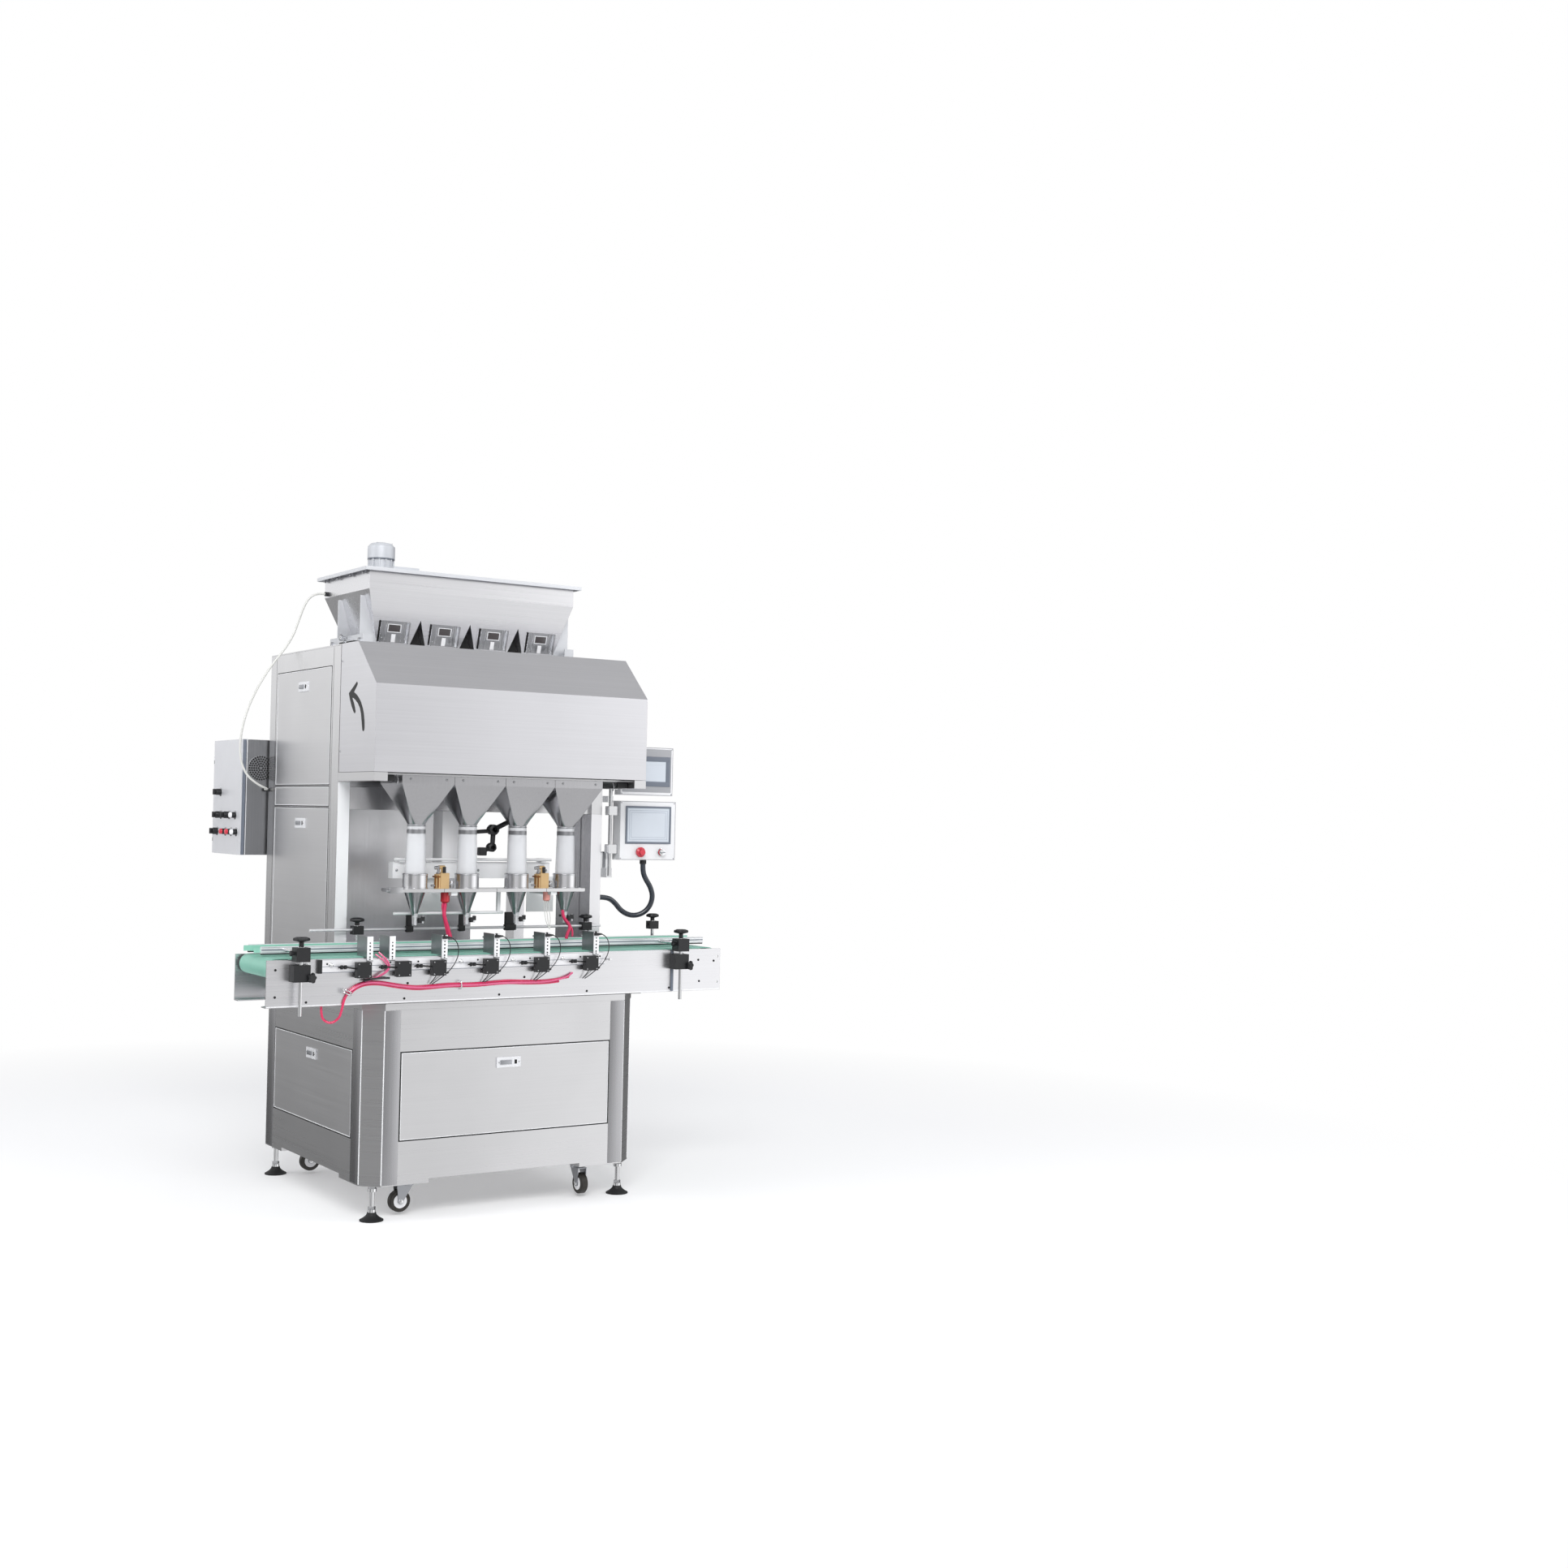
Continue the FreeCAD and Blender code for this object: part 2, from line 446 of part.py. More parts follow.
# Weigh frame: two side rails and a deck with one window over each funnel.
deck = box("rail_w", "col_w-rail_w", "deck_y0", "col_y0", "rail_high-deck_thick", "rail_high")
windows = [box(lane(i) + "-funnel_w/2+14", lane(i) + "+funnel_w/2-14", "lane_y-funnel_d/2+14",
               "lane_y+funnel_d/2-14", "rail_high-deck_thick-1", "rail_high+1") for i in range(4)]
node("weigh_frame", fuse(cut(deck, *windows),
                         box("0", "rail_w", "hood_y0", "col_y0", "rail_low", "rail_high"),
                         box("col_w-rail_w", "col_w", "hood_y0", "col_y0", "rail_low", "rail_high")))

# Discharge funnels: a square flange band that tapers to a round neck and spigot.
deck_low = "(rail_high-deck_thick)"


def funnel_shape(shrink, low_cut):
    hw, hd = val("funnel_w") / 2 - shrink, val("funnel_d") / 2 - shrink
    zf, zn = val("flange_low") - shrink * 0.4, val("funnel_low")
    r = val("neck_r") - shrink
    band = Part.makeBox(2 * hw, 2 * hd, val(deck_low) - zf + (shrink > 0) * 1.0, FreeCAD.Vector(-hw, -hd, zf))
    pts = [FreeCAD.Vector(-hw, -hd, zf), FreeCAD.Vector(hw, -hd, zf), FreeCAD.Vector(hw, hd, zf), FreeCAD.Vector(-hw, hd, zf)]
    square = Part.Wire([Part.makeLine(pts[k], pts[(k + 1) % 4]) for k in range(4)])
    arcs = []
    for k in range(4):
        a = [math.radians(225 + 90 * k + 45 * s) for s in (0, 1, 2)]
        p = [FreeCAD.Vector(r * math.cos(t), r * math.sin(t), zn) for t in a]
        arcs.append(Part.Arc(*p).toShape())
    return band.fuse(Part.makeLoft([square, Part.Wire(arcs)], True, True))


def funnel(i):
    f = new("Part::Feature", "funnel")
    neck_low = val("funnel_low-spigot_len")
    outer = funnel_shape(0, 0).fuse(Part.makeCylinder(val("spigot_r"), val("spigot_len") + 1, FreeCAD.Vector(0, 0, neck_low)))
    bore = Part.makeCylinder(val("spigot_r-sheet_t"), val("spigot_len") + 4, FreeCAD.Vector(0, 0, neck_low - 1))
    f.Shape = outer.cut(funnel_shape(val("sheet_t"), 1).fuse(bore)).removeSplitter()
    return place(f, lane(i), "lane_y", "0")


node("discharge_funnels", *[funnel(i) for i in range(4)])

# Clear tubes hang from the spigots and end inside the nozzle cups.
tube_len = "(funnel_low-tube_low)"
tube_in = "(spigot_r+0.3)"
node("discharge_tubes",
     *[turned([(tube_in + "+tube_flare", "0"), (tube_in + "+tube_flare+tube_wall", "0"),
               (tube_in + "+tube_wall", tube_len), (tube_in, tube_len)], lane(i), "lane_y", "tube_low") for i in range(4)])

# Nozzle plate with a seat for each cup, and the turned cups with their cones.
plate_low = "(plate_high-plate_thick)"
node("nozzle_plate", cut(box("plate_x0", "plate_x1", "plate_y0", "plate_y1", plate_low, "plate_high"),
                         *[cyl(lane(i), "lane_y", plate_low + "-1", "cone_r+0.3", "plate_thick+2") for i in range(4)]))
node("filling_nozzles",
     *[turned([("tip_r-sheet_t-1", "0"), ("tip_r-1", "0"), ("tip_r", "cone_low-tip_low"), ("cone_r", "plate_high-tip_low"),
               ("cup_r", "plate_high-tip_low"), ("cup_r", "cup_high-tip_low"), ("cup_r-sheet_t", "cup_high-tip_low"),
               ("cup_r-sheet_t", "plate_high-tip_low+sheet_t"), ("cone_r-sheet_t", "plate_high-tip_low+sheet_t"),
               ("tip_r-sheet_t", "cone_low-tip_low+sheet_t")], lane(i), "lane_y", "tip_low") for i in range(4)])

# Pneumatic vibrators on the plate between the cups.
vibs = []
for i in (0, 2):
    vx = "(%s+lane_pitch/2)" % lane(i)
    vibs.append(fuse(box(vx + "-vib_w/4", vx + "+vib_w/2", "lane_y-vib_w/2", "lane_y+vib_w/2", "plate_high", "plate_high+vib_tall"),
                     cyl(vx + "-vib_w/6", "lane_y", "plate_high", "vib_w*0.42", "vib_tall-4"),
                     cyl(vx + "+4", "lane_y", "plate_high+vib_tall", "6", "16"),
                     cyl(vx + "-10", "lane_y", "plate_high+vib_tall+20", "7", "22", "X")))
node("pneumatic_vibrators", *vibs)

# Nozzle carrier: rail behind the tubes, lift post under the head, arms below the plate, rods.
arms = []
for i in (0, 2):
    ax = "(%s+lane_pitch/2+22)" % lane(i)
    arms += [box(ax, ax + "+arm_w", "plate_y0+10", "carrier_y1", plate_low + "-12", plate_low),
             box(ax, ax + "+arm_w", "carrier_y1-12", "carrier_y1", plate_low, "carrier_low")]
a0 = "(lane_x+lane_pitch/2+22)"
carrier = fuse(box("carrier_x0", "carrier_x1", "carrier_y0", "carrier_y1", "carrier_low", "carrier_high"),
               box("lift_x0", "lift_x1", "carrier_y1", "lift_y1", "carrier_low", "head_low"),
               cyl("carrier_x0", "guard_y", "guard_z", "guard_r", "carrier_x1-carrier_x0", "X"),
               box("carrier_x0+20", "carrier_x0+40", "guard_y", "carrier_y1-10", "carrier_high", "guard_z+guard_r"),
               box("carrier_x1-40", "carrier_x1-20", "guard_y", "carrier_y1-10", "carrier_high", "guard_z+guard_r"),
               cyl("carrier_x0-25", "low_rod_y", "low_rod_z", "guard_r", "420", "X"),
               box("shield_x1", "shield_x1+shield_w1", "shield_y", "shield_y+shield_t", "shield_low", "carrier_low+5"),
               box("shield_x2", "shield_x2+shield_w2", "shield_y", "shield_y+shield_t", "shield_low-6", "carrier_low+5"),
               box(a0, a0 + "+12", "low_rod_y-6", "low_rod_y+6", "low_rod_z", plate_low + "-12"),
               box("carrier_x0+370", "carrier_x0+382", "low_rod_y-6", "low_rod_y+6", "low_rod_z", plate_low), *arms)
node("nozzle_carrier", carrier)

# Inside the hood: weigh buckets, feeder trays and their drive housings on the head's front.
buckets, trays, drives = [], [], []
for i in range(4):
    bx = lane(i)
    outline = [("lane_y-bucket_d/4", "bucket_low"), ("lane_y+bucket_d/4", "bucket_low"),
               ("lane_y+bucket_d/2", "bucket_low+bucket_d/2"), ("lane_y+bucket_d/2", "bucket_high"),
               ("lane_y-bucket_d/2", "bucket_high"), ("lane_y-bucket_d/2", "bucket_low+bucket_d/2")]
    inside = [("lane_y-bucket_d/4+sheet_t", "bucket_low+sheet_t"), ("lane_y+bucket_d/4-sheet_t", "bucket_low+sheet_t"),
              ("lane_y+bucket_d/2-sheet_t", "bucket_low+bucket_d/2+sheet_t"), ("lane_y+bucket_d/2-sheet_t", "bucket_high+5"),
              ("lane_y-bucket_d/2+sheet_t", "bucket_high+5"), ("lane_y-bucket_d/2+sheet_t", "bucket_low+bucket_d/2+sheet_t")]
    pot = cut(pad("YZ", outline, "bucket_w", bx + "-bucket_w/2", "0", "0"),
              pad("YZ", inside, "bucket_w-2*sheet_t", bx + "-bucket_w/2+sheet_t", "0", "0"))
    buckets.append(fuse(pot, box(bx + "-drive_w/2+10", bx + "+drive_w/2-10", "lane_y+bucket_d/2", "drive_y0",
                                 "bucket_high-30", "bucket_high-24")))
    trays.append(cut(box(bx + "-tray_w/2", bx + "+tray_w/2", "tray_y0", "head_y", "tray_low", "tray_high"),
                     box(bx + "-tray_w/2+sheet_t", bx + "+tray_w/2-sheet_t", "tray_y0-1", "head_y-sheet_t",
                         "tray_low+sheet_t", "tray_high+1")))
    drives.append(box(bx + "-drive_w/2", bx + "+drive_w/2", "drive_y0", "head_y", "drive_low", "tray_low"))
node("weigh_buckets", *buckets)
node("feeder_trays", *trays)
node("feeder_drives", *drives)

# Feed hopper: rimmed band, tapered lower part split by notches into four outlets.
slope = "(hop_bend-%s)" % top
lower = wedge("hop_x0+hop_in_x", "hop_x1-hop_in_x", "hop_y0+hop_in_front", "hop_y1-hop_in_rear", top, "hop_bend",
              "hop_x0", "hop_x1", "hop_y0", "hop_y1")
band = box("hop_x0", "hop_x1", "hop_y0", "hop_y1", "hop_bend", "hop_high")
rim = box("hop_x0-hop_lip", "hop_x1+hop_lip", "hop_y0-hop_lip", "hop_y1+hop_lip", "hop_high", "hop_high+hop_rim")
room = wedge("hop_x0+hop_in_x+hop_wall", "hop_x1-hop_in_x-hop_wall", "hop_y0+hop_in_front+hop_wall",
             "hop_y1-hop_in_rear-hop_wall", top, "hop_bend", "hop_x0+hop_wall", "hop_x1-hop_wall",
             "hop_y0+hop_wall", "hop_y1-hop_wall")
mouth = box("hop_x0+hop_wall", "hop_x1-hop_wall", "hop_y0+hop_wall", "hop_y1-hop_wall", "hop_bend", "hop_high+hop_rim+1")
notches, ribs = [], []
for i in range(3):
    nx = "(%s+lane_pitch/2)" % lane(i)
    notches.append(pad("XZ", [(nx + "-notch_half", "0"), (nx + "+notch_half", "0"), (nx, "notch_tall")],
                       "hop_y1-hop_y0", "0", "hop_y0", top))
    ribs.append(pad("XZ", [(nx + "-notch_half-hop_wall", "0"), (nx + "+notch_half+hop_wall", "0"), (nx, "notch_tall+3*hop_wall")],
                    "hop_y1-hop_y0", "0", "hop_y0", top))
node("feed_hopper", cut(fuse(lower, band, rim), fuse(*notches), cut(room, *ribs), mouth))

# Slide gates, one on the front of each outlet, leaning with the hopper's front.
lean = math.degrees(math.atan2(val("hop_in_front"), val(slope)))
gates = []
for i in range(4):
    g = new("Part::Feature", "gate")
    w, tall, t = val("gate_w"), val("gate_tall"), val("gate_thick")
    face = Part.makeBox(w, t, tall, FreeCAD.Vector(-w / 2, -t, 0))
    for side in (-1, 1):
        face = face.fuse(Part.makeBox(6, 12, tall, FreeCAD.Vector(side * (w / 2 - 3) - 3, -12, 0)))
    hole = Part.makeBox(w * 0.42, 4 * t, tall * 0.34, FreeCAD.Vector(-w * 0.21, -2 * t, tall * 0.5))
    slot = Part.makeBox(w * 0.16, 1.5, tall * 0.4, FreeCAD.Vector(-w * 0.08, -t - 0.1, 2))
    shape = face.cut(hole).cut(slot)
    shape.rotate(FreeCAD.Vector(), FreeCAD.Vector(1, 0, 0), lean)
    g.Shape = shape
    up = "gate_up"
    gates.append(place(g, lane(i), "hop_y0+hop_in_front-%s*hop_in_front/%s" % (up, slope), "%s+%s" % (top, up)))
node("hopper_gates", *gates)

# Hopper brackets: side bars on the column's top with gussets up the hopper's flanks.
brackets = []
for side in (0, 1):
    near = "(hop_x0-bar_out)" if side == 0 else "(hop_x1+bar_out)"
    far = "(hop_x0-bar_out+bar_thick)" if side == 0 else "(hop_x1+bar_out-bar_thick)"
    lo, hi = (near, far) if side == 0 else (far, near)
    f0, f1 = (near, near + "+37") if side == 0 else (near + "-37", near)
    bar = fuse(box(lo, hi, "bar_y0", "bar_y1", top, top + "+bar_tall"),
               box(f0, f1, "bar_y0", "bar_y0+bar_thick", top, top + "+bar_tall"))
    tall = "(%s-20)" % slope
    for gy in ("bar_y0+40", "bar_y1-60"):
        if side == 0:
            outline = [("hop_x0-bar_out+bar_thick", "0"), ("hop_x0+hop_in_x", "0"),
                       ("hop_x0+hop_in_x-hop_in_x*%s/%s" % (tall, slope), tall), ("hop_x0-bar_out+bar_thick", tall)]
        else:
            outline = [("hop_x1+bar_out-bar_thick", "0"), ("hop_x1+bar_out-bar_thick", tall),
                       ("hop_x1-hop_in_x+hop_in_x*%s/%s" % (tall, slope), tall), ("hop_x1-hop_in_x", "0")]
        bar = fuse(bar, pad("XZ", outline, "bar_thick", "0", gy, top))
    brackets.append(bar)
node("hopper_brackets", *brackets)

# Agitator motor on a bridge across the rim.
rim_top = "(hop_high+hop_rim)"
fins = []
for k in range(12):
    fin = box("0", "motor_r", "0", "fin_w", "14", "motor_tall-3")
    turn = FreeCAD.Rotation(FreeCAD.Vector(0, 0, 1), 30 * k)
    fin.Placement = FreeCAD.Placement(FreeCAD.Vector(), turn)
    side = turn.multVec(FreeCAD.Vector(0, -0.5, 0))
    fins.append(place(fin, "motor_x+fin_w*(%.6f)" % side.x, "motor_y+fin_w*(%.6f)" % side.y, rim_top + "+bridge_t+14"))
motor = fuse(box("motor_x-motor_r", "motor_x+motor_r", "hop_y0-hop_lip", "hop_y1+hop_lip", rim_top, rim_top + "+bridge_t"),
             turned([("0", "0"), ("motor_r+3", "0"), ("motor_r+3", "10"), ("motor_r-fin_out", "14"), ("motor_r-fin_out", "motor_tall"),
                     ("motor_r", "motor_tall"), ("motor_r", "motor_tall+dome_tall*0.45"),
                     ("motor_r*0.8", "motor_tall+dome_tall*0.85"), ("motor_r*0.45", "motor_tall+dome_tall"),
                     ("0", "motor_tall+dome_tall")], "motor_x", "motor_y", rim_top + "+bridge_t"), *fins)
node("hopper_motor", motor)

# Conveyor: two folded side plates joined by a bed, with the section joint's bolt holes.
inner0 = "(conv_y0+conv_plate)"
inner1 = "(conv_y1-conv_plate)"
length = "(conv_x1-conv_x0)"
front = pad("YZ", [("conv_y0", "cap_high"), ("conv_y0+conv_flange", "cap_high"), ("conv_y0+conv_flange", "cap_high+conv_plate"),
                   (inner0, "cap_high+conv_plate"), (inner0, "conv_high"), ("conv_y0", "conv_high")],
            length, "conv_x0", "0", "0")
rear = pad("YZ", [("conv_y1", "cap_high"), ("conv_y1", "conv_high"), (inner1, "conv_high"), (inner1, "cap_high+conv_plate"),
                  ("conv_y1-conv_flange", "cap_high+conv_plate"), ("conv_y1-conv_flange", "cap_high")],
           length, "conv_x0", "0", "0")
bed_top = "(conv_high+belt_up-belt_t-0.3)"
bed = box("conv_x0+roller_in+roller_r+8", "conv_x1-roller_in-roller_r-8", inner0, inner1, bed_top + "-bed_t", bed_top)
ties = [box(x, x + "+30", inner0, inner1, "cap_high+conv_plate", "cap_high+30")
        for x in ("conv_x0+120", "100", "base_w-130", "conv_x1-150")]
joint_holes = [cyl("conv_x1-joint_in", y, z, "joint_hole_r", "conv_plate+2", "Y")
               for y in ("conv_y0-1", "conv_y1-conv_plate-1") for z in ("cap_high+30", "conv_high-30")]
node("conveyor_frame", cut(fuse(front, rear, bed, *ties), *joint_holes))


def stadium(r, y0, y1):
    z = "(conv_high+belt_up-belt_t-roller_r-0.3)"
    xa, xb = "(conv_x0+roller_in)", "(conv_x1-roller_in)"
    width = "(%s)-(%s)" % (y1, y0)
    return fuse(cyl(xa, y0, z, r, width, "Y"), cyl(xb, y0, z, r, width, "Y"),
                box(xa, xb, y0, y1, "%s-(%s)" % (z, r), "%s+(%s)" % (z, r)))


belt0, belt1 = "(%s+belt_gap)" % inner0, "(%s-belt_gap)" % inner1
node("conveyor_belt", cut(stadium("roller_r+0.3+belt_t", belt0, belt1), stadium("roller_r+0.3", belt0 + "-1", belt1 + "+1")))
roll_z = "(conv_high+belt_up-belt_t-roller_r-0.3)"
node("conveyor_rollers", *[fuse(cyl(x, belt0, roll_z, "roller_r", "%s-%s" % (belt1, belt0), "Y"),
                                cyl(x, inner0, roll_z, "shaft_r", "%s-%s" % (inner1, inner0), "Y"))
                           for x in ("conv_x0+roller_in", "conv_x1-roller_in")])

# Guide rails either side of the lane with their liners, on posts clamped to the plates.
gf1, gr0 = "(lane_y-lane_w/2)", "(lane_y+lane_w/2)"
node("guide_rails",
     box("guide_x0", "conv_x1", gf1 + "-liner_t-rail_t", gf1 + "-liner_t", "guide_low", "guide_high"),
     box("guide_x0", "conv_x1", gr0 + "+liner_t", gr0 + "+liner_t+rail_t", "guide_low", "guide_high"))
node("guide_liners",
     box("guide_x0-20", "conv_x1", gf1 + "-liner_t", gf1, "guide_low+2", "guide_high-6"),
     box("guide_x0-20", "conv_x1", gr0, gr0 + "+liner_t", "guide_low+2", "guide_high-2"))
post_y = "(conv_y0-post_out)"
rear_y = "(conv_y1+16)"
mid_guide = "((guide_low+guide_high)/2)"
front_rail_y = "(%s-liner_t-rail_t)" % gf1
rear_rail_y = "(%s+liner_t+rail_t)" % gr0
posts, blocks = [], []
for px in ("post_x0", "post_x1"):
    rod = cyl(px, post_y, "post_low", "post_r", "block_high-4-post_low")
    arm = cyl(px, post_y, mid_guide, "post_r", "%s-%s" % (front_rail_y, post_y), "Y")
    posts.append(fuse(rod, arm))
    top_block = cut(box(px + "-block_w/2", px + "+block_w/2", post_y + "-block_w/2", post_y + "+block_w/2",
                        "block_low", "block_high"),
                    cyl(px, post_y, "post_low", "post_r+0.2", "block_high-4-post_low"),
                    cyl(px, post_y, mid_guide, "post_r+0.2", "200", "Y"))
    knob = turned([("0", "0"), ("8", "0"), ("8", "knob_high-block_high-16"), ("knob_r", "knob_high-block_high-12"),
                   ("knob_r", "knob_high-block_high-4"), ("knob_r-6", "knob_high-block_high"), ("0", "knob_high-block_high")],
                  px, post_y, "block_high")
    clamp = cut(box(px + "-clamp_w/2", px + "+clamp_w/2", post_y + "-post_r-8", "conv_y0", "clamp_low", "clamp_high"),
                cyl(px, post_y, "clamp_low-1", "post_r+0.2", "clamp_high-clamp_low+2"))
    blocks += [fuse(top_block, knob), clamp]
for px in ("rear_x0", "rear_x1", "rear_x2"):
    posts.append(fuse(cyl(px, rear_y, "clamp_low-20", "post_r", "rear_rod_z-clamp_low+20"),
                      cyl(px, rear_rail_y, mid_guide, "post_r", "%s-%s" % (rear_y, rear_rail_y), "Y")))
    block = cut(box(px + "-block_w/2+4", px + "+block_w/2-4", rear_y + "-16", rear_y + "+16", "rear_rod_z-16", "rear_rod_z+14"),
                cyl(px, rear_y, "clamp_low-20", "post_r+0.2", "rear_rod_z-clamp_low+20"),
                cyl("conv_x0", rear_y, "rear_rod_z", "rear_rod_r+0.2", length, "X"))
    knob = turned([("0", "0"), ("8", "0"), ("8", "12"), ("knob_r-2", "16"), ("knob_r-2", "24"), ("knob_r-8", "28"), ("0", "28")],
                  px, rear_y, "rear_rod_z+14")
    clamp = cut(box(px + "-20", px + "+20", "conv_y1", rear_y + "+post_r+6", "clamp_low", "clamp_high"),
                cyl(px, rear_y, "clamp_low-1", "post_r+0.2", "clamp_high-clamp_low+2"))
    blocks += [fuse(block, knob), clamp]
rod_front = cyl("rear_rod_x0", rear_y, "rear_rod_z", "rear_rod_r", "rear_rod_x1-rear_rod_x0", "X")
node("guide_posts", *[cut(p, cyl("conv_x0", rear_y, "rear_rod_z", "rear_rod_r+0.2", length, "X")) for p in posts])
node("guide_rod", rod_front)
node("guide_clamps", *blocks)

# Stop gates along the front plate: mounting bar, valve boxes, bent brackets and cylinders.
node("mounting_bar", box("bar_x0", "bar_x1", "conv_y0-bar_deep", "conv_y0", "bar_low", "bar_high"))
box_x = ["box_x1", "box_x2"] + [lane(i) for i in range(4)]
bar_face = "(conv_y0-bar_deep)"
node("valve_boxes", *[box(x + "-box_w/2", x + "+box_w/2", bar_face + "-box_deep", bar_face, "box_low", "box_low+box_tall")
                      for x in box_x])
stops, cylinders = [], []
for x in box_x:
    sx = "(%s+%s)" % (x, "stop_shift2" if x == "box_x2" else "stop_shift")
    side = box(sx, sx + "+stop_t", bar_face + "-stop_t", bar_face + "+stop_back", "bar_high+8", "stop_high")
    flange = box(sx, sx + "+stop_w", bar_face + "-stop_t", bar_face, "box_low+box_tall+1", "stop_high")
    stops.append(fuse(side, flange))
    cylinders.append(fuse(cyl(sx + "+stop_t+stop_r+0.2", "conv_y0", "stop_high-18", "stop_r", "stop_back*0.75", "Y"),
                          cyl(sx + "+stop_t+stop_r+0.2", "conv_y0+stop_back*0.75", "stop_high-18", "3", "36", "Y"),
                          box(sx + "+stop_t", sx + "+stop_t+2*stop_r+2", "conv_y0+12", "conv_y0+26", "stop_high-28", "stop_high-8")))
node("stop_brackets", *stops)
node("stop_cylinders", *cylinders)


def route(points, radius):
    """A tube along straight runs joined by tangent arcs as large as the runs allow."""
    P = [FreeCAD.Vector(*p) for p in points]
    n = len(P)
    runs = [(P[i + 1] - P[i]).Length for i in range(n - 1)]
    edges, start, radii = [], P[0], []
    for i in range(1, n - 1):
        a = (P[i - 1] - P[i]).normalize()
        b = (P[i + 1] - P[i]).normalize()
        back = 0.45 * min(runs[i - 1], runs[i])
        t1, t2 = P[i] + a * back, P[i] + b * back
        half = (math.pi - a.getAngle(b)) / 2
        r = back / math.tan(half)
        radii.append(round(r, 1))
        bis = (a + b).normalize()
        mid = P[i] + bis * (r / math.cos(half) - r)
        edges.append(Part.LineSegment(start, t1).toShape())
        edges.append(Part.Arc(t1, mid, t2).toShape())
        start = t2
    edges.append(Part.LineSegment(start, P[-1]).toShape())
    wire = Part.Wire(edges)
    circle = Part.Wire([Part.Circle(P[0], P[1] - P[0], radius).toShape()])
    tube = wire.makePipeShell([circle], True, False)
    print("tube length %.0f, volume ratio %.4f, radii %s"
          % (wire.Length, tube.Volume / (math.pi * radius ** 2 * wire.Length), radii))
    return tube, wire.Length


def tube_node(name, points, r):
    f = new("Part::Feature", name)
    f.Shape = route(points, val(r))[0]
    place(f, "0", "0", "0")
    return node(name, f)


# Air hoses clipped along the front plate: one strand comes up from the lower flange in a loop,
# the other runs beside it from the first clip.
hose_y = val("conv_y0-hose_r-hose_gap")
share = val(length) / 1742


def along(x, up, y=None):
    return (x * share, hose_y if y is None else y, val("cap_high") + up * share)


strand = [along(-166, -val("hose_gap"), 0), along(-166, -18, 0), along(-161, -47, -2), along(-136, -59, -13),
          along(-111, -41, -21), along(-103, -11), along(-98, 15), along(-86, 40), along(-64, 61), along(-34, 73),
          along(-2, 76), along(32, 74), along(92, 62), along(158, 53), along(214, 55), along(268, 59),
          along(322, 58), along(384, 57), along(446, 61), along(504, 63), along(552, 60), along(602, 58),
          along(652, 58), along(698, 62), along(738, 68)]


def beside(points, gap):
    """The same run moved sideways in the plate's plane, for a second strand below the first."""
    moved = []
    for i in range(1, len(points) - 1):
        dx, dz = points[i + 1][0] - points[i - 1][0], points[i + 1][2] - points[i - 1][2]
        size = math.hypot(dx, dz)
        moved.append((points[i][0] + gap * dz / size, points[i][1], points[i][2] - gap * dx / size))
    return moved


hoses = []
for line in (strand, beside(strand[6:], val("2*hose_r") + 0.6)):
    h = new("Part::Feature", "hose")
    h.Shape = route(line, val("hose_r"))[0]
    hoses.append(place(h, "0", "0", "0"))
node("hose_bundle", *hoses)

# Operator panels on a rod beside the right post.
hmi_x1 = "(hmi_x0+hmi_w)"
rod_y = "(hmi_y0+hmi_d/2)"
hmi_y1 = "(hmi_y0+hmi_d)"
holder = fuse(cyl("rod_x", rod_y, "rod_low", "rod_r", "rod_high-rod_low"),
              box("col_w", "rod_x+rod_r+12", "col_y0+8", "col_y0+14", "rod_low-6", "rod_low+92"),
              box("rod_x-12", "rod_x+12", rod_y, "col_y0+14", "rod_low-6", "rod_low+30"),
              box("col_w", "rod_x+rod_r+12", "col_y0+8", "col_y0+14", "disp_low-30", "disp_low-6"),
              box("rod_x-12", "rod_x+12", rod_y, "col_y0+14", "disp_low-30", "disp_low-6"),
              *[box("rod_x-14", "hmi_x0", rod_y + "-16", rod_y + "+14", z, z + "+34")
                for z in ("hmi_low+24", "hmi_low+hmi_tall-56", "disp_low+20")])
node("hmi_holder", holder)
node("hmi_box", box("hmi_x0", hmi_x1, "hmi_y0", hmi_y1, "hmi_low", "hmi_low+hmi_tall"))
node("display_box", box("hmi_x0", "hmi_x0+disp_w", "hmi_y0", hmi_y1 + "-8", "disp_low", "disp_low+disp_tall"))
node("hmi_buttons",
     turned([("0", "0"), ("stop_btn_r*0.6", "0"), ("stop_btn_r*0.6", "10"), ("stop_btn_r", "14"), ("stop_btn_r", "22"),
             ("stop_btn_r-5", "26"), ("0", "26")], "hmi_x0+stop_btn_x", "hmi_y0-26", "hmi_low+btn_z", "Y"),
     turned([("0", "0"), ("key_r-3", "0"), ("key_r-3", "8"), ("key_r", "9"), ("key_r", "14"), ("0", "14")],
            "hmi_x0+key_x", "hmi_y0-14", "hmi_low+btn_z", "Y"))
gx, gy, gz = val("hmi_x0+gland_x"), val(rod_y), val("hmi_low-gland_tall")
px, py, pz = val("col_w+gland_tall"), val("col_y0+duct_y"), val("cap_high+duct_z")
tube_node("hmi_conduit",
          [(gx, gy, gz), (gx, gy, gz - 29), (gx + 12, gy, gz - 57), (gx + 35, gy - 2, gz - 89),
           (gx + 48, gy, gz - 128), (gx + 38, gy + 8, gz - 169), (gx + 9, gy + 19, gz - 196),
           (gx - 30, gy + 33, gz - 202), (gx - 66, gy + 46, gz - 184), (gx - 94, gy + 52, gz - 148),
           (px + 37, py, pz), (px, py, pz)], "conduit_r")

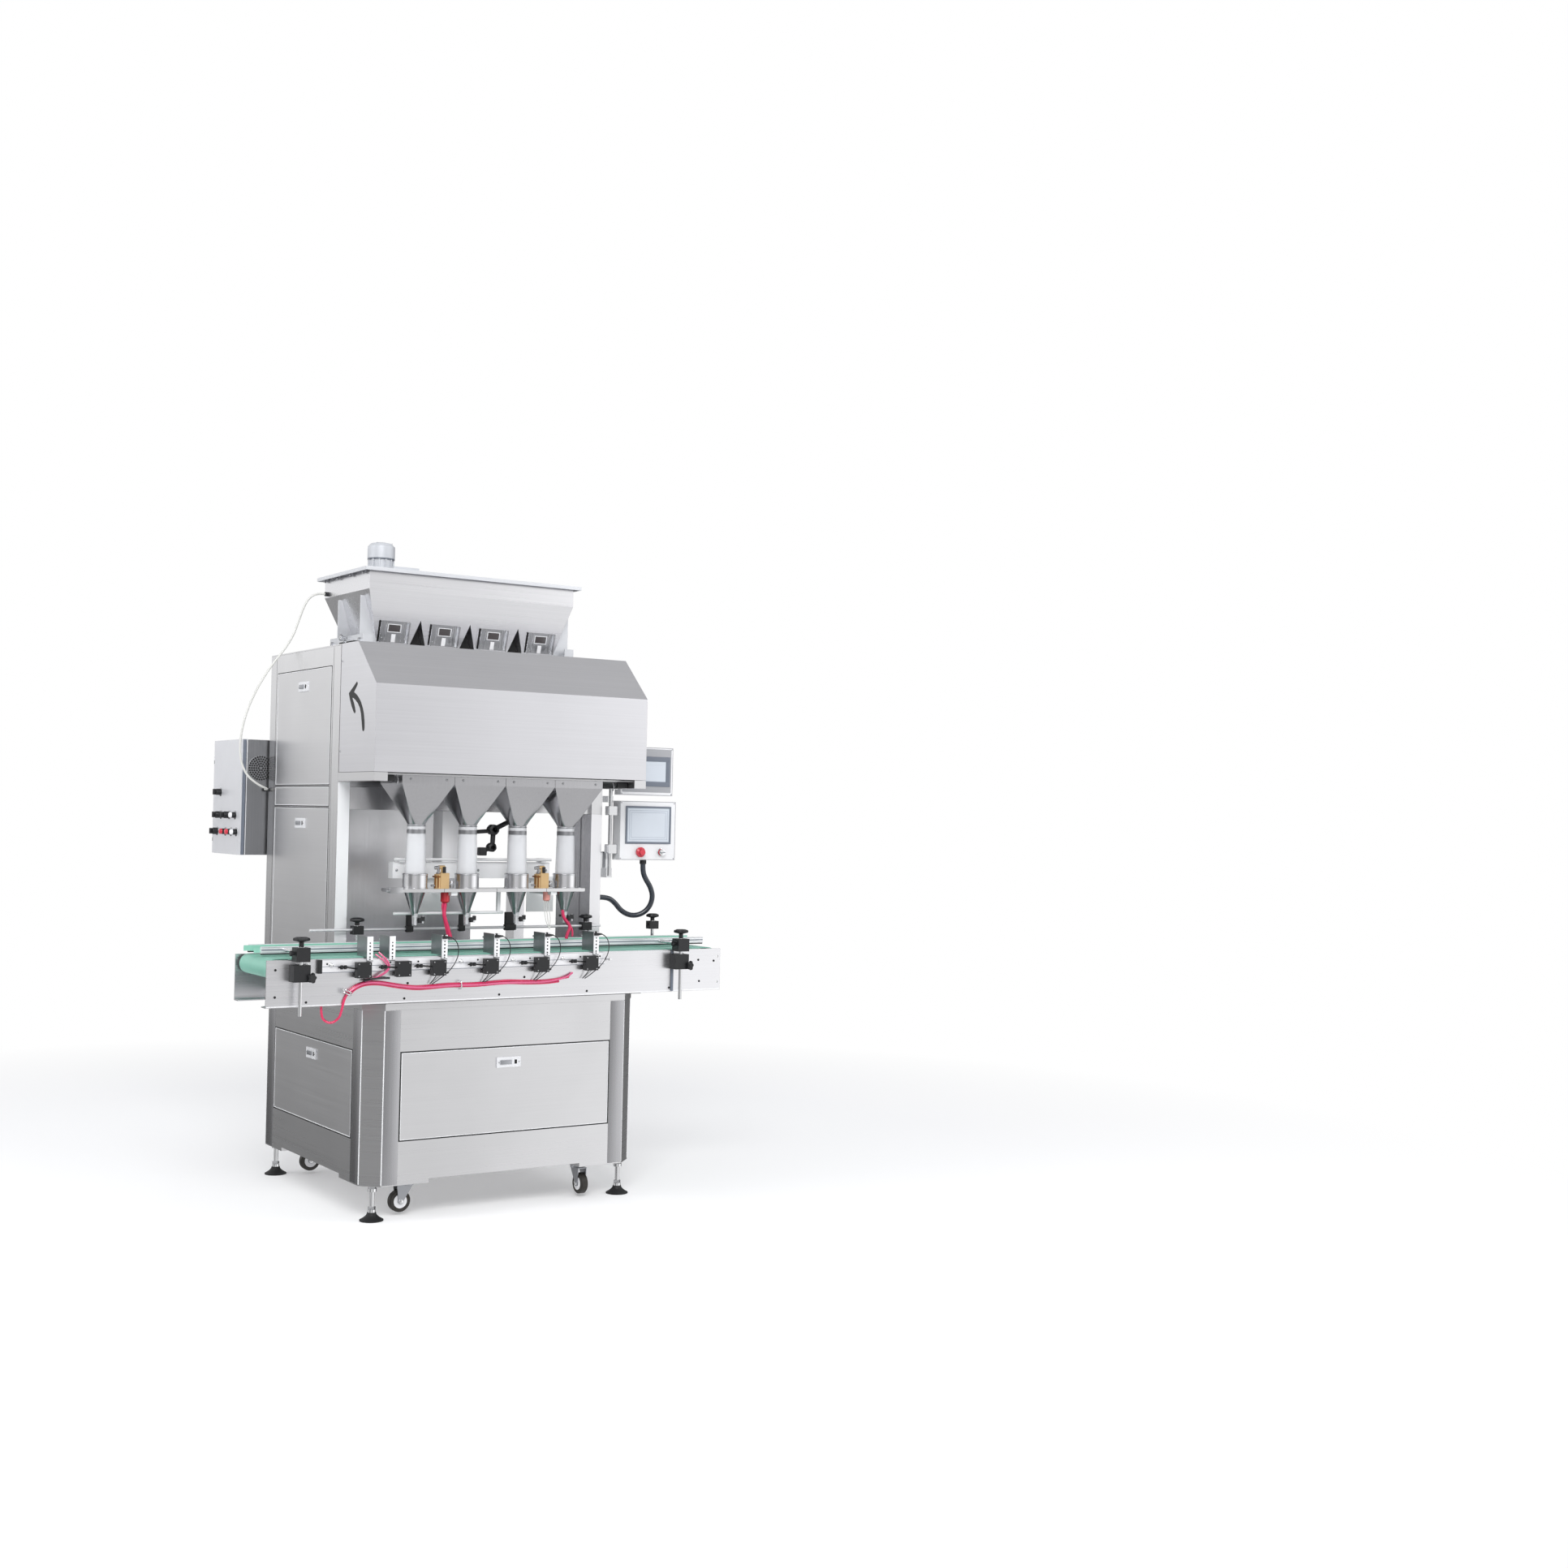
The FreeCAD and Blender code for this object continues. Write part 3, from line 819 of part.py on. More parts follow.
# Control box behind the column, open towards its door on the left.
cab_x1, cab_y1, cab_high = "(cab_x0+cab_w)", "(cab_y0+cab_d)", "(cab_low+cab_tall)"
door_x1 = "(cab_x0+door_t)"
cab = cut(box(door_x1 + "+door_gap", cab_x1, "cab_y0", cab_y1, "cab_low", cab_high),
          box("cab_x0", cab_x1 + "-cab_t", "cab_y0+cab_t", cab_y1 + "-cab_t", "cab_low+cab_t", cab_high + "-cab_t"),
          )
plate_in = box(cab_x1 + "-cab_t-12", cab_x1 + "-cab_t", "cab_y0+40", cab_y1 + "-40", "cab_low+40", cab_high + "-40")
hang = [box(a, a + "+30", "col_y1", "cab_y0", "cab_low+60", cab_high + "-60") for a in ("10", "95")]
door_pin_x = "(cab_x0+cab_pin_r)"
ears = [fuse(cyl(door_pin_x, cab_y1, z, "cab_pin_r", "14"),
             box(door_pin_x, door_x1 + "+door_gap+2", cab_y1 + "-2", cab_y1, z, z + "+14"),
             cyl(door_pin_x, cab_y1, z + "+14", "cab_pin_r/2", "16")) for z in ("cab_low+46", cab_high + "-90")]
node("control_box_body", fuse(cab, plate_in, *(hang + ears)))
door = box("cab_x0", door_x1, "cab_y0", cab_y1 + "-2", "cab_low", cab_high)
clear = [box("cab_x0-1", door_x1 + "+1", cab_y1 + "-8", cab_y1, z + "-1", z + "+31") for z in ("cab_low+46", cab_high + "-90")]
knuckles = [cut(fuse(cyl(door_pin_x, cab_y1, z + "+14.4", "cab_pin_r", "15"),
                     box(door_pin_x, door_pin_x + "+3", cab_y1 + "-12", cab_y1, z + "+14.4", z + "+29.4")),
                cyl(door_pin_x, cab_y1, z + "+10", "cab_pin_r/2+fit", "24")) for z in ("cab_low+46", cab_high + "-90")]
node("control_box_door", fuse(cut(door, *clear), *knuckles))
switches = []
for across, up, r, deep in ((0.727, 0.543, "switch_r-1", "switch_deep"), (0.697, 0.342, "switch_r", "switch_deep+4"),
                            (0.394, 0.342, "switch_r", "switch_deep+4"), (0.188, 0.342, "lamp_r", "lamp_deep"),
                            (0.818, 0.196, "switch_r", "switch_deep"), (0.515, 0.196, "lamp_r", "lamp_deep"),
                            (0.318, 0.196, "lamp_r", "lamp_deep"), (0.136, 0.196, "lamp_r", "lamp_deep")):
    switches.append(turned([("0", "0"), (r + "-3", "0"), (r, "3"), (r, deep), ("0", deep)],
                           "cab_x0-(%s)" % deep, "cab_y0+cab_d*%.3f" % across, "cab_low+cab_tall*%.3f" % up, "X"))
node("door_switches", *switches)

# Level sensor lead from the hopper's flank to the control box, and the glands of both cords.
sx, sy, sz = val("hop_x0-lead_gland_tall"), val("hop_y1-lead_y"), val("hop_bend+13")
tx, ty, tz = val("cab_x0+lead_x"), val("cab_y0-lead_gland_tall"), val("cab_low+lead_z")
tube_node("hopper_sensor_cable",
          [(sx, sy, sz), (sx - 31, sy, sz), (sx - 58, sy + 4, sz - 18), (sx - 73, sy + 12, sz - 46),
           (sx - 86, sy + 26, sz - 97), (sx - 101, sy + 44, sz - 160), (sx - 130, sy + 63, sz - 217),
           (sx - 165, sy + 82, sz - 269), (sx - 198, sy + 104, sz - 333), (sx - 223, sy + 124, sz - 396),
           (sx - 240, sy + 144, sz - 460), (sx - 248, sy + 161, sz - 524), (sx - 247, sy + 176, sz - 580),
           (sx - 237, sy + 188, sz - 634), (sx - 212, sy + 195, sz - 681), (sx - 172, sy + 200, sz - 711),
           (tx - 25, ty - 60, tz + 6), (tx, ty - 35, tz), (tx, ty, tz)], "cable_r")
node("cable_glands",
     cyl("hmi_x0+gland_x", rod_y, "hmi_low-gland_tall", "gland_r", "gland_tall"),
     cyl("col_w", "col_y0+duct_y", "cap_high+duct_z", "gland_r", "gland_tall", "X"),
     cyl("hop_x0-lead_gland_tall", "hop_y1-lead_y", "hop_bend+13", "lead_gland_r", "lead_gland_tall", "X"),
     cyl("cab_x0+lead_x", "cab_y0-lead_gland_tall", "cab_low+lead_z", "lead_gland_r", "lead_gland_tall", "Y"))

doc.recompute()
bad = [o.Name + " " + str(o.State) for o in doc.Objects if "Invalid" in o.State or "Error" in o.State]
for o in NODES:
    if o.Shape.isNull() or not o.Shape.isValid():
        bad.append(o.Label + " shape")
if bad:
    raise RuntimeError("failed: " + ", ".join(bad))
os.makedirs("parts", exist_ok=True)
for o in NODES:
    o.Shape.exportStep("parts/%s.step" % o.Label)
box_all = FreeCAD.BoundBox()
for o in NODES:
    box_all.add(o.Shape.BoundBox)
print("%d nodes, %d solids" % (len(NODES), sum(len(o.Shape.Solids) for o in NODES)))
print("x %.1f %.1f y %.1f %.1f z %.1f %.1f" % (box_all.XMin, box_all.XMax, box_all.YMin, box_all.YMax, box_all.ZMin, box_all.ZMax))
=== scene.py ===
# %% [markdown]
# A linear four-lane weigher in Blender
#
# The solid model of the machine comes in as a fixed frame. This lesson gives every solid a
# finish that is named for the real material, and adds the small pieces that the solids leave
# out: screws, screens, hoses, sensor leads, seams and vents. Each new piece rides on the body
# that carries it, so that it moves when the hood or the door swings.

# %% Load the frame
import bpy
import bmesh
import math
from mathutils import Matrix, Vector


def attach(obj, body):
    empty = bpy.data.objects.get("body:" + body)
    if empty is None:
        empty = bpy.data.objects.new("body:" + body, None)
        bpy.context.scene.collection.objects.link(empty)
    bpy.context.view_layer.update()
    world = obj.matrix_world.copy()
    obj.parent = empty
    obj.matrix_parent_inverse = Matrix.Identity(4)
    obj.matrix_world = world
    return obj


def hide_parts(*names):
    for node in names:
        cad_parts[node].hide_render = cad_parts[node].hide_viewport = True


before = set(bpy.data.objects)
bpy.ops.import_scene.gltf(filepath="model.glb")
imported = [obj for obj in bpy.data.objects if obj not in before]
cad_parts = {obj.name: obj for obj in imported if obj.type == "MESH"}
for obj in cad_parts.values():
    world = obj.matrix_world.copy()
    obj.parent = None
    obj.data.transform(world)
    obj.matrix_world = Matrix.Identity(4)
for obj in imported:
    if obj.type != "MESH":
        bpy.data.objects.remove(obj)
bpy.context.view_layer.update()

# %% [markdown]
# Workshop drawings measure this machine in millimetres from the cabinet's front left corner
# on the floor. The model's origin is the middle of the footprint, so one function turns a
# drawing position into metres in Blender. Everything below is placed with it.

# %% Drawing position to metres
CORNER = Vector((511.0, 655.0, 0.0))
LEFT, RIGHT, FRONT, BACK, DOWN, UP = (-1, 0, 0), (1, 0, 0), (0, -1, 0), (0, 1, 0), (0, 0, -1), (0, 0, 1)
link = bpy.context.scene.collection.objects.link


def mm(x, y, z):
    return (Vector((x, y, z)) - CORNER) / 1000.0


LANES = [228.0 + 196.0 * i for i in range(4)]
print("lanes at", LANES)

# %% [markdown]
# The camera stands a little to the left of the machine at chest height, as a photographer
# would, and looks along the conveyor. Its place and lens were worked out from the straight
# edges of the cabinet and column.

# %% Camera
FOCAL_PIXELS, PHOTO_PIXELS, SENSOR_MM = 2273.37, 1932.0, 36.0
yaw, pitch, roll = math.radians(34.88), math.radians(1.09), math.radians(-1.19)
eye = mm(-2408.63, -5852.29, 1380.61)
look = Vector((math.sin(yaw) * math.cos(pitch), math.cos(yaw) * math.cos(pitch), math.sin(pitch)))
level = Vector((math.cos(yaw), -math.sin(yaw), 0.0))
upward = level.cross(look)
right = level * math.cos(roll) - upward * math.sin(roll)
up = level * math.sin(roll) + upward * math.cos(roll)
camera = bpy.data.objects.new("photo_camera", bpy.data.cameras.new("photo_camera"))
camera.data.sensor_width = SENSOR_MM
camera.data.lens = FOCAL_PIXELS * SENSOR_MM / PHOTO_PIXELS
camera.data.clip_end = 200.0
camera.matrix_world = Matrix.Translation(eye) @ Matrix((right, up, -look)).transposed().to_4x4()
link(camera)
bpy.context.scene.camera = camera
print("lens %.1f mm" % camera.data.lens)

# %% [markdown]
# Colours are written as the hex values that a painter or a web page uses. Blender works in
# linear light, so one function converts them. A second one adds a shader node with its
# settings and its links, and every finish below is made with these two. The short functions
# after them cover the nodes that come again: ramps, noise, ranges and mixes.

# %% Colour and node helpers


def ink(code, alpha=1.0):
    out = []
    for i in (0, 2, 4):
        c = int(code[i:i + 2], 16) / 255.0
        out.append(c / 12.92 if c <= 0.04045 else ((c + 0.055) / 1.055) ** 2.4)
    return (*out, alpha)


def add(tree, kind, sockets=None, **settings):
    node = tree.nodes.new("ShaderNode" + kind)
    for key, value in settings.items():
        setattr(node, key, value)
    for key, value in (sockets or {}).items():
        if isinstance(value, bpy.types.NodeSocket):
            tree.links.new(value, node.inputs[key])
        else:
            node.inputs[key].default_value = value
    return node


def blank(name):
    mat = bpy.data.materials.new(name)
    mat.use_nodes = True
    mat.node_tree.nodes.clear()
    return mat, mat.node_tree


def ramp(tree, fac, stops):
    node = add(tree, "ValToRGB", {"Fac": fac})
    while len(node.color_ramp.elements) < len(stops):
        node.color_ramp.elements.new(0.5)
    for element, (place, colour) in zip(node.color_ramp.elements, stops):
        element.position = place
        element.color = colour if isinstance(colour, tuple) else (colour, colour, colour, 1.0)
    return node.outputs["Color"]


def noise(tree, place, scale, detail, rough=0.5):
    return add(tree, "TexNoise", {"Vector": place, "Scale": scale, "Detail": detail,
                                  "Roughness": rough}).outputs["Fac"]


def span(tree, value, low, high, start, end, **settings):
    """Maps a value that runs from low to high onto start to end."""
    return add(tree, "MapRange", {"Value": value, "From Min": low, "From Max": high, "To Min": start,
                                  "To Max": end}, **settings).outputs[0]


def multiply(tree, one, two):
    # The mix node has number, vector and colour sockets with one name, so they are set by place.
    return add(tree, "Mix", {0: 1.0, 6: one, 7: two}, data_type="RGBA", blend_type="MULTIPLY").outputs[2]


def blend(tree, share, one, two):
    return add(tree, "MixShader", {0: share, 1: one.outputs[0], 2: two.outputs[0]})


print("white is", [round(v, 2) for v in ink("ffffff")])

# %% [markdown]
# Brushed stainless steel is rolled sheet that was drawn under an abrasive belt. The belt
# leaves fine parallel scratches, so a highlight is stretched across them and broken up along
# them, and hands and wipes leave soft cloudy patches. Noise that is stretched along the grain
# gives the scratches, and large noise the clouds. Real scratches are about 0.1 mm apart, too
# fine for this picture, so they are drawn 5 mm apart and kept faint.

# %% Brushed stainless finish
STREAK_MM = 700.0


def surface(tree, colour, grain, gloss, bump, edge_mm, more):
    """Ends a finish: gloss and bump follow the grain, and hard edges catch some light."""
    shine = span(tree, grain, 0.3, 0.7, *gloss)
    relief = add(tree, "Bevel", {"Radius": edge_mm / 1000.0}, samples=4)
    raised = add(tree, "Bump", {"Strength": bump, "Distance": 0.0002, "Height": grain,
                                "Normal": relief.outputs[0]})
    skin = add(tree, "BsdfPrincipled", {"Base Color": colour, "Roughness": shine,
                                        "Normal": raised.outputs[0], **more})
    add(tree, "OutputMaterial", {"Surface": skin.outputs[0]})


def brushed(name, sheet, shade, rough, grain, spacing_mm=5.0, cloud=0.06):
    mat, tree = blank("stainless_" + name)
    place = add(tree, "TexCoord").outputs["Object"]
    fine, slow = 1000.0 / spacing_mm, 1000.0 / STREAK_MM
    scale = {"across": (slow, slow, fine), "upright": (fine, fine, slow), "along": (slow, fine, fine)}[grain]
    stretched = add(tree, "Mapping", {"Vector": place, "Scale": scale})
    scratch = noise(tree, stretched.outputs[0], 1.0, 2.5, 0.6)
    patch = noise(tree, place, 2.6, 3.0, 0.55)
    tone = ramp(tree, scratch, [(0.25, ink(shade)), (0.7, ink(sheet))])
    wipe = ramp(tree, patch, [(0.32, 1.0 - cloud), (0.66, 1.0)])
    surface(tree, multiply(tree, tone, wipe), scratch, (rough - 0.01, rough + 0.015), 0.012, 1.5,
            {"Metallic": 1.0, "Anisotropic": 0.35})
    return mat


steel_across = brushed("brushed_across", "dcdcde", "d9d9db", 0.28, "across")
steel_upright = brushed("brushed_upright", "dedee0", "d8d8da", 0.26, "upright")
steel_post = brushed("posts", "efeff2", "e8e8eb", 0.26, "upright", cloud=0.05)
steel_hood = brushed("hood", "dddde1", "d8d8dc", 0.30, "across", cloud=0.04)
steel_gate = brushed("gates", "b2b3b5", "a6a7aa", 0.25, "upright", cloud=0.12)
steel_door = brushed("doors", "dcdcde", "d9d9db", 0.32, "across", cloud=0.05)
steel_corner = brushed("corner_skins", "acacaf", "a7a7aa", 0.27, "upright", cloud=0.08)
steel_bay = brushed("bay_lining", "f2f2f5", "eaeaed", 0.20, "upright", cloud=0.30)
steel_bright = brushed("rolled", "e6e6e8", "e0e0e2", 0.16, "along", spacing_mm=3.0, cloud=0.05)
steel_box = brushed("box_body", "999a9d", "939497", 0.32, "upright")
steel_hopper = brushed("hopper", "e1e1e4", "dbdbde", 0.28, "along", cloud=0.04)
steel_turned = brushed("turned_cups", "dadadd", "cfcfd2", 0.25, "upright", spacing_mm=3.0, cloud=0.05)
steel_cone = brushed("cones", "a6a7aa", "98999c", 0.24, "upright", spacing_mm=3.0, cloud=0.10)
steel_stop = brushed("stop_plates", "9c9da0", "939497", 0.35, "upright", cloud=0.10)
steel_funnel = brushed("funnels", "bcbcbf", "b6b6b9", 0.20, "upright", spacing_mm=4.0, cloud=0.06)
steel_conveyor = brushed("conveyor", "e6e6e9", "e1e1e4", 0.28, "along", cloud=0.04)
print("steel finishes made")

# %% [markdown]
# Turned and plated pieces such as rods, screws and nuts are smoother than sheet. A second
# function makes plain solids: plastics, rubber, paint and anodised profiles. Each has a fine
# grain in its roughness, because nothing moulded or painted is perfectly even.

# %% Plain finishes

def plain(name, colour, rough, metal=0.0, grain_mm=1.2, vary=0.08, bump=0.08, coat=0.0, alpha=1.0):
    mat, tree = blank(name)
    place = add(tree, "TexCoord").outputs["Object"]
    speck = noise(tree, place, 1000.0 / grain_mm, 2.0)
    haze = noise(tree, place, 9.0, 2.0)
    full = ink(colour)
    tone = ramp(tree, haze, [(0.3, (*[c * (1 - vary) for c in full[:3]], 1.0)), (0.7, full)])
    surface(tree, tone, speck, (rough - 0.04, rough + 0.05), bump, 0.8,
            {"Metallic": metal, "Coat Weight": coat, "Alpha": alpha})
    return mat


rod_chrome = plain("ground_steel_rod", "d9dadc", 0.12, metal=1.0, vary=0.03, bump=0.02)
screw_steel = plain("screw_steel", "b9babd", 0.24, metal=1.0, vary=0.08)
alloy = plain("anodised_aluminium", "f0f0f3", 0.40, metal=0.6, grain_mm=0.9, vary=0.04)
zinc = plain("zinc_plated_steel", "a9abb0", 0.34, metal=0.9, vary=0.08)
satin_rim = plain("satin_rolled_rim", "d2d4d8", 0.40, metal=0.3, vary=0.03)
satin_gusset = plain("satin_steel_gussets", "d3d5d9", 0.42, metal=0.55, vary=0.06)
satin_plate = plain("satin_anodised_plate", "f6f6f8", 0.45, metal=0.2, vary=0.03)
latch_satin = plain("satin_chrome_latch", "e6e7ea", 0.42, metal=0.35, grain_mm=0.8, vary=0.05)
# A pale satin finish that is laid on edges, rims, frames and strip faces as painted highlight.
highlight_satin = plain("pale_satin_painted_highlight", "f4f5f7", 0.34, metal=0.3, vary=0.03)
black_abs = plain("black_moulded_nylon", "17181b", 0.42, grain_mm=0.8, bump=0.2)
black_rubber = plain("black_rubber", "0e0f11", 0.55, grain_mm=1.4, bump=0.25)
hose_black = plain("black_ribbed_conduit", "2a303b", 0.30, coat=0.4)
tyre_brown = plain("caster_tyre_rubber", "26231f", 0.5, bump=0.2)
belt_pvc = plain("green_pvc_belt", "82bdab", 0.42, grain_mm=2.0, vary=0.12, bump=0.3)
liner_pe = plain("green_polyethylene_liner", "92ccb9", 0.36, vary=0.06)
bronze = plain("machined_bronze", "d9b887", 0.38, metal=0.55, vary=0.2)
# A dark copy of the bronze that is painted shade on the vibrators' ribs.
bronze_shade_tone = plain("bronze_painted_shade", "8a5a2c", 0.42, metal=0.6, vary=0.2)
band_steel = plain("clamp_band_steel", "8e8f92", 0.36, metal=0.7)
hose_red = plain("red_polyurethane_tube", "d42a5c", 0.22, vary=0.1, coat=0.5)
hose_pink = plain("pink_polyurethane_tube", "de5f8b", 0.25, vary=0.1, coat=0.4)
fitting_red = plain("red_acetal_fitting", "c01c2c", 0.30, coat=0.3)
fitting_pink = plain("pink_acetal_fitting", "f0a096", 0.34, coat=0.2)
mushroom_red = plain("red_button_plastic", "cf3042", 0.28, coat=0.4)
shell_grey = plain("light_grey_case", "ececee", 0.38, grain_mm=1.0, vary=0.04)
frame_grey = plain("dark_grey_frame", "6d7480", 0.34, vary=0.05)
lcd_pale = plain("screen_glass_pale", "cfd6df", 0.12, vary=0.05, bump=0.0, coat=0.7)
lcd_blue = plain("screen_glass_blue", "aeb9c6", 0.12, vary=0.05, bump=0.0, coat=0.7)
cabinet_paint = plain("powder_coated_steel", "dbdce0", 0.34, metal=0.35, grain_mm=1.5, vary=0.05, bump=0.12)
motor_paint = plain("painted_motor_casting", "c9ccd1", 0.45, metal=0.1, vary=0.06)
face_grey = plain("grey_panel_face", "a5a6aa", 0.42, grain_mm=1.0, vary=0.04)
sight_glass = plain("smoked_sight_glass", "4a4546", 0.16, vary=0.3, bump=0.0, coat=0.4)
screen_line = plain("screen_border_line", "aab3c2", 0.2, bump=0.0)
lead_white = plain("white_cable_sheath", "dcdcd8", 0.42)
lead_black = plain("black_cable_sheath", "2a2b2e", 0.45)
ink_black = plain("black_marking_paint", "101114", 0.5, bump=0.0)
dark_gap = plain("shadowed_hole", "0a0a0b", 0.7, bump=0.0)
tube_clear = plain("milky_clear_tube", "f3f4f7", 0.22, vary=0.04, bump=0.02, coat=0.3, alpha=0.50)
print("plain finishes made")

# %% [markdown]
# Each solid now gets the finish of the material that it is really made of. The four caster
# forks share one entry, and so do the four wheels.

# %% Finish for every solid
FINISH = {
    steel_across: "base_housing base_top_cap column_top_plate weigh_frame",
    steel_upright: "column_left_wall column_head feeder_drives",
    steel_post: "column_right_posts",
    steel_bay: "column_back_panel",
    steel_door: "base_access_panels column_side_panels",
    steel_hood: "hood_shell",
    steel_funnel: "discharge_funnels feeder_trays weigh_buckets",
    steel_bright: "nozzle_plate",
    steel_turned: "filling_nozzles",
    steel_stop: "stop_brackets",
    steel_gate: "hopper_gates",
    steel_conveyor: "conveyor_frame",
    steel_hopper: "feed_hopper",
    rod_chrome: "guide_posts stop_cylinders foot_studs hmi_holder conveyor_rollers",
    screw_steel: "hood_hinges",
    zinc: "caster_plates caster_fork",
    tyre_brown: "caster_wheel",
    latch_satin: "panel_latches",
    alloy: "guide_rails guide_rod mounting_bar",
    satin_plate: "nozzle_carrier",
    satin_gusset: "hopper_brackets",
    black_abs: "guide_clamps valve_boxes door_switches cable_glands",
    black_rubber: "foot_pads",
    belt_pvc: "conveyor_belt",
    liner_pe: "guide_liners",
    tube_clear: "discharge_tubes",
    bronze: "pneumatic_vibrators",
    mushroom_red: "hmi_buttons",
    shell_grey: "hmi_box display_box",
    cabinet_paint: "control_box_door",
    steel_box: "control_box_body",
    motor_paint: "hopper_motor",
    hose_black: "hmi_conduit",
    hose_red: "hose_bundle",
    lead_white: "hopper_sensor_cable",
}
finish_of = {name: finish for finish, names in FINISH.items() for name in names.split()}
for name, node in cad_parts.items():
    for slot in node.material_slots:
        slot.material = finish_of.get(name, finish_of.get(name[:-3]))
print("finished", len(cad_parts), "solids")

# %% [markdown]
# Small pieces are drawn with mesh code. One list collects many of them, such as all the
# screws of one plate, and turns them into one object, which keeps the scene light. These
# tools draw a block with softened edges, a turned piece, a rod and a bent tube.

# %% Mesh tools

def strand(name, points, r, order, facets):
    """A round cord or wire: a smooth NURBS curve through points."""
    curve = bpy.data.curves.new(name, "CURVE")
    curve.dimensions = "3D"
    spline = curve.splines.new("NURBS")
    spline.points.add(len(points) - 1)
    for p, at in zip(spline.points, points):
        p.co = (*mm(*at), 1.0)
    spline.order_u = order
    spline.use_endpoint_u = True
    curve.bevel_depth = r / 1000.0
    curve.bevel_resolution = facets
    curve.use_fill_caps = True
    return curve


class Pile:
    """Many small solids that become one object."""

    def __init__(self):
        self.mesh = bmesh.new()

    def block(self, lo, hi, soft=0.6, spin=None):
        """A box between two opposite corners; soft rounds its edges and spin turns it."""
        made = bmesh.ops.create_cube(self.mesh, size=1.0)["verts"]
        a, b = [mm(*corner) for corner in zip(*[sorted(pair) for pair in zip(lo, hi)])]
        mid, size = (a + b) / 2, b - a
        turn = spin or Matrix.Identity(3)
        for v in made:
            v.co = mid + turn @ Vector((v.co.x * size.x, v.co.y * size.y, v.co.z * size.z))
        if soft:
            edges = list({e for v in made for e in v.link_edges})
            bmesh.ops.bevel(self.mesh, geom=edges, offset=soft / 1000.0, segments=2, affect="EDGES", profile=0.7)
        return self

    def turned(self, base, axis, outline, sides=20, lobes=0, deep=0.0):
        """outline is a list of (radius, height) in millimetres; lobes make a star-shaped grip."""
        axis = Vector(axis).normalized()
        side = axis.orthogonal().normalized()
        other = axis.cross(side)
        rings = []
        for r, h in outline:
            at = mm(*base) + axis * h / 1000.0
            if r < 1e-6:
                rings.append([self.mesh.verts.new(at)])
            else:
                ring = []
                for k in range(sides):
                    a = 2 * math.pi * k / sides
                    reach = r * (1 + deep * math.cos(lobes * a)) / 1000.0
                    ring.append(self.mesh.verts.new(at + (side * math.cos(a) + other * math.sin(a)) * reach))
                rings.append(ring)
        for low, high in zip(rings, rings[1:]):
            for k in range(sides):
                n = (k + 1) % sides
                if len(low) == 1:
                    loop = (low[0], high[n], high[k])
                elif len(high) == 1:
                    loop = (low[k], low[n], high[0])
                else:
                    loop = (low[k], low[n], high[n], high[k])
                self.mesh.faces.new(loop)
        return self

    def rod(self, a, b, r, sides=12, cap=0.4):
        length = (Vector(b) - Vector(a)).length
        outline = [(0, 0), (r - cap, 0), (r, cap), (r, length - cap), (r - cap, length), (0, length)]
        return self.turned(a, Vector(b) - Vector(a), outline, sides)

    def bolt(self, at, axis, r=3.0, tall=2.4):
        """A button-head screw with its hexagon socket."""
        outline = [(r, -0.2), (r, tall * 0.35), (r * 0.8, tall * 0.8), (r * 0.5, tall), (r * 0.48, tall * 0.5),
                   (0, tall * 0.5)]
        return self.turned(at, axis, outline, 16)

    def sheet(self, outline, thick):
        """A flat plate: outline is a loop of positions and thick the offset to its other face."""
        step = Vector(thick) / 1000.0
        low = [self.mesh.verts.new(mm(*at)) for at in outline]
        high = [self.mesh.verts.new(v.co + step) for v in low]
        self.mesh.faces.new(low)
        self.mesh.faces.new(high[::-1])
        for k in range(len(low)):
            n = (k + 1) % len(low)
            self.mesh.faces.new((low[k], high[k], high[n], low[n]))
        return self

    def tube(self, points, r):
        """A bent wire or lead through points."""
        curve = strand("way", points, r, min(4, len(points)), 2)
        carrier = bpy.data.objects.new("way", curve)
        made = bpy.data.meshes.new_from_object(carrier)
        self.mesh.from_mesh(made)
        bpy.data.objects.remove(carrier)
        bpy.data.curves.remove(curve)
        bpy.data.meshes.remove(made)

    def done(self, name, finish, body="frame", angle=35.0):
        bmesh.ops.recalc_face_normals(self.mesh, faces=self.mesh.faces)
        data = bpy.data.meshes.new(name)
        self.mesh.to_mesh(data)
        self.mesh.free()
        for face in data.polygons:
            face.use_smooth = True
        data.set_sharp_from_angle(angle=math.radians(angle))
        piece = bpy.data.objects.new(name, data)
        data.materials.append(finish)
        link(piece)
        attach(piece, body)
        print(name, len(data.polygons), "faces")


def piles(count):
    return [Pile() for _ in range(count)]

# %% [markdown]
# The cords are settled first. A rubber conduit hangs from the operator panel and goes into
# the right post, and a thin white lead runs from the hopper to the box behind the column.
# Each is a smooth curve through the same points as the solid tube that it stands for.

# %% Cords


def cord_curve(name, points, r, finish):
    curve = strand(name, points, r, 3, 6)
    curve.splines[0].resolution_u = 8
    curve.materials.append(finish)
    piece = bpy.data.objects.new(name, curve)
    link(piece)
    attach(piece, "frame")
    return piece


def steps(start, offsets):
    return [tuple(a + b for a, b in zip(start, offset)) for offset in offsets]


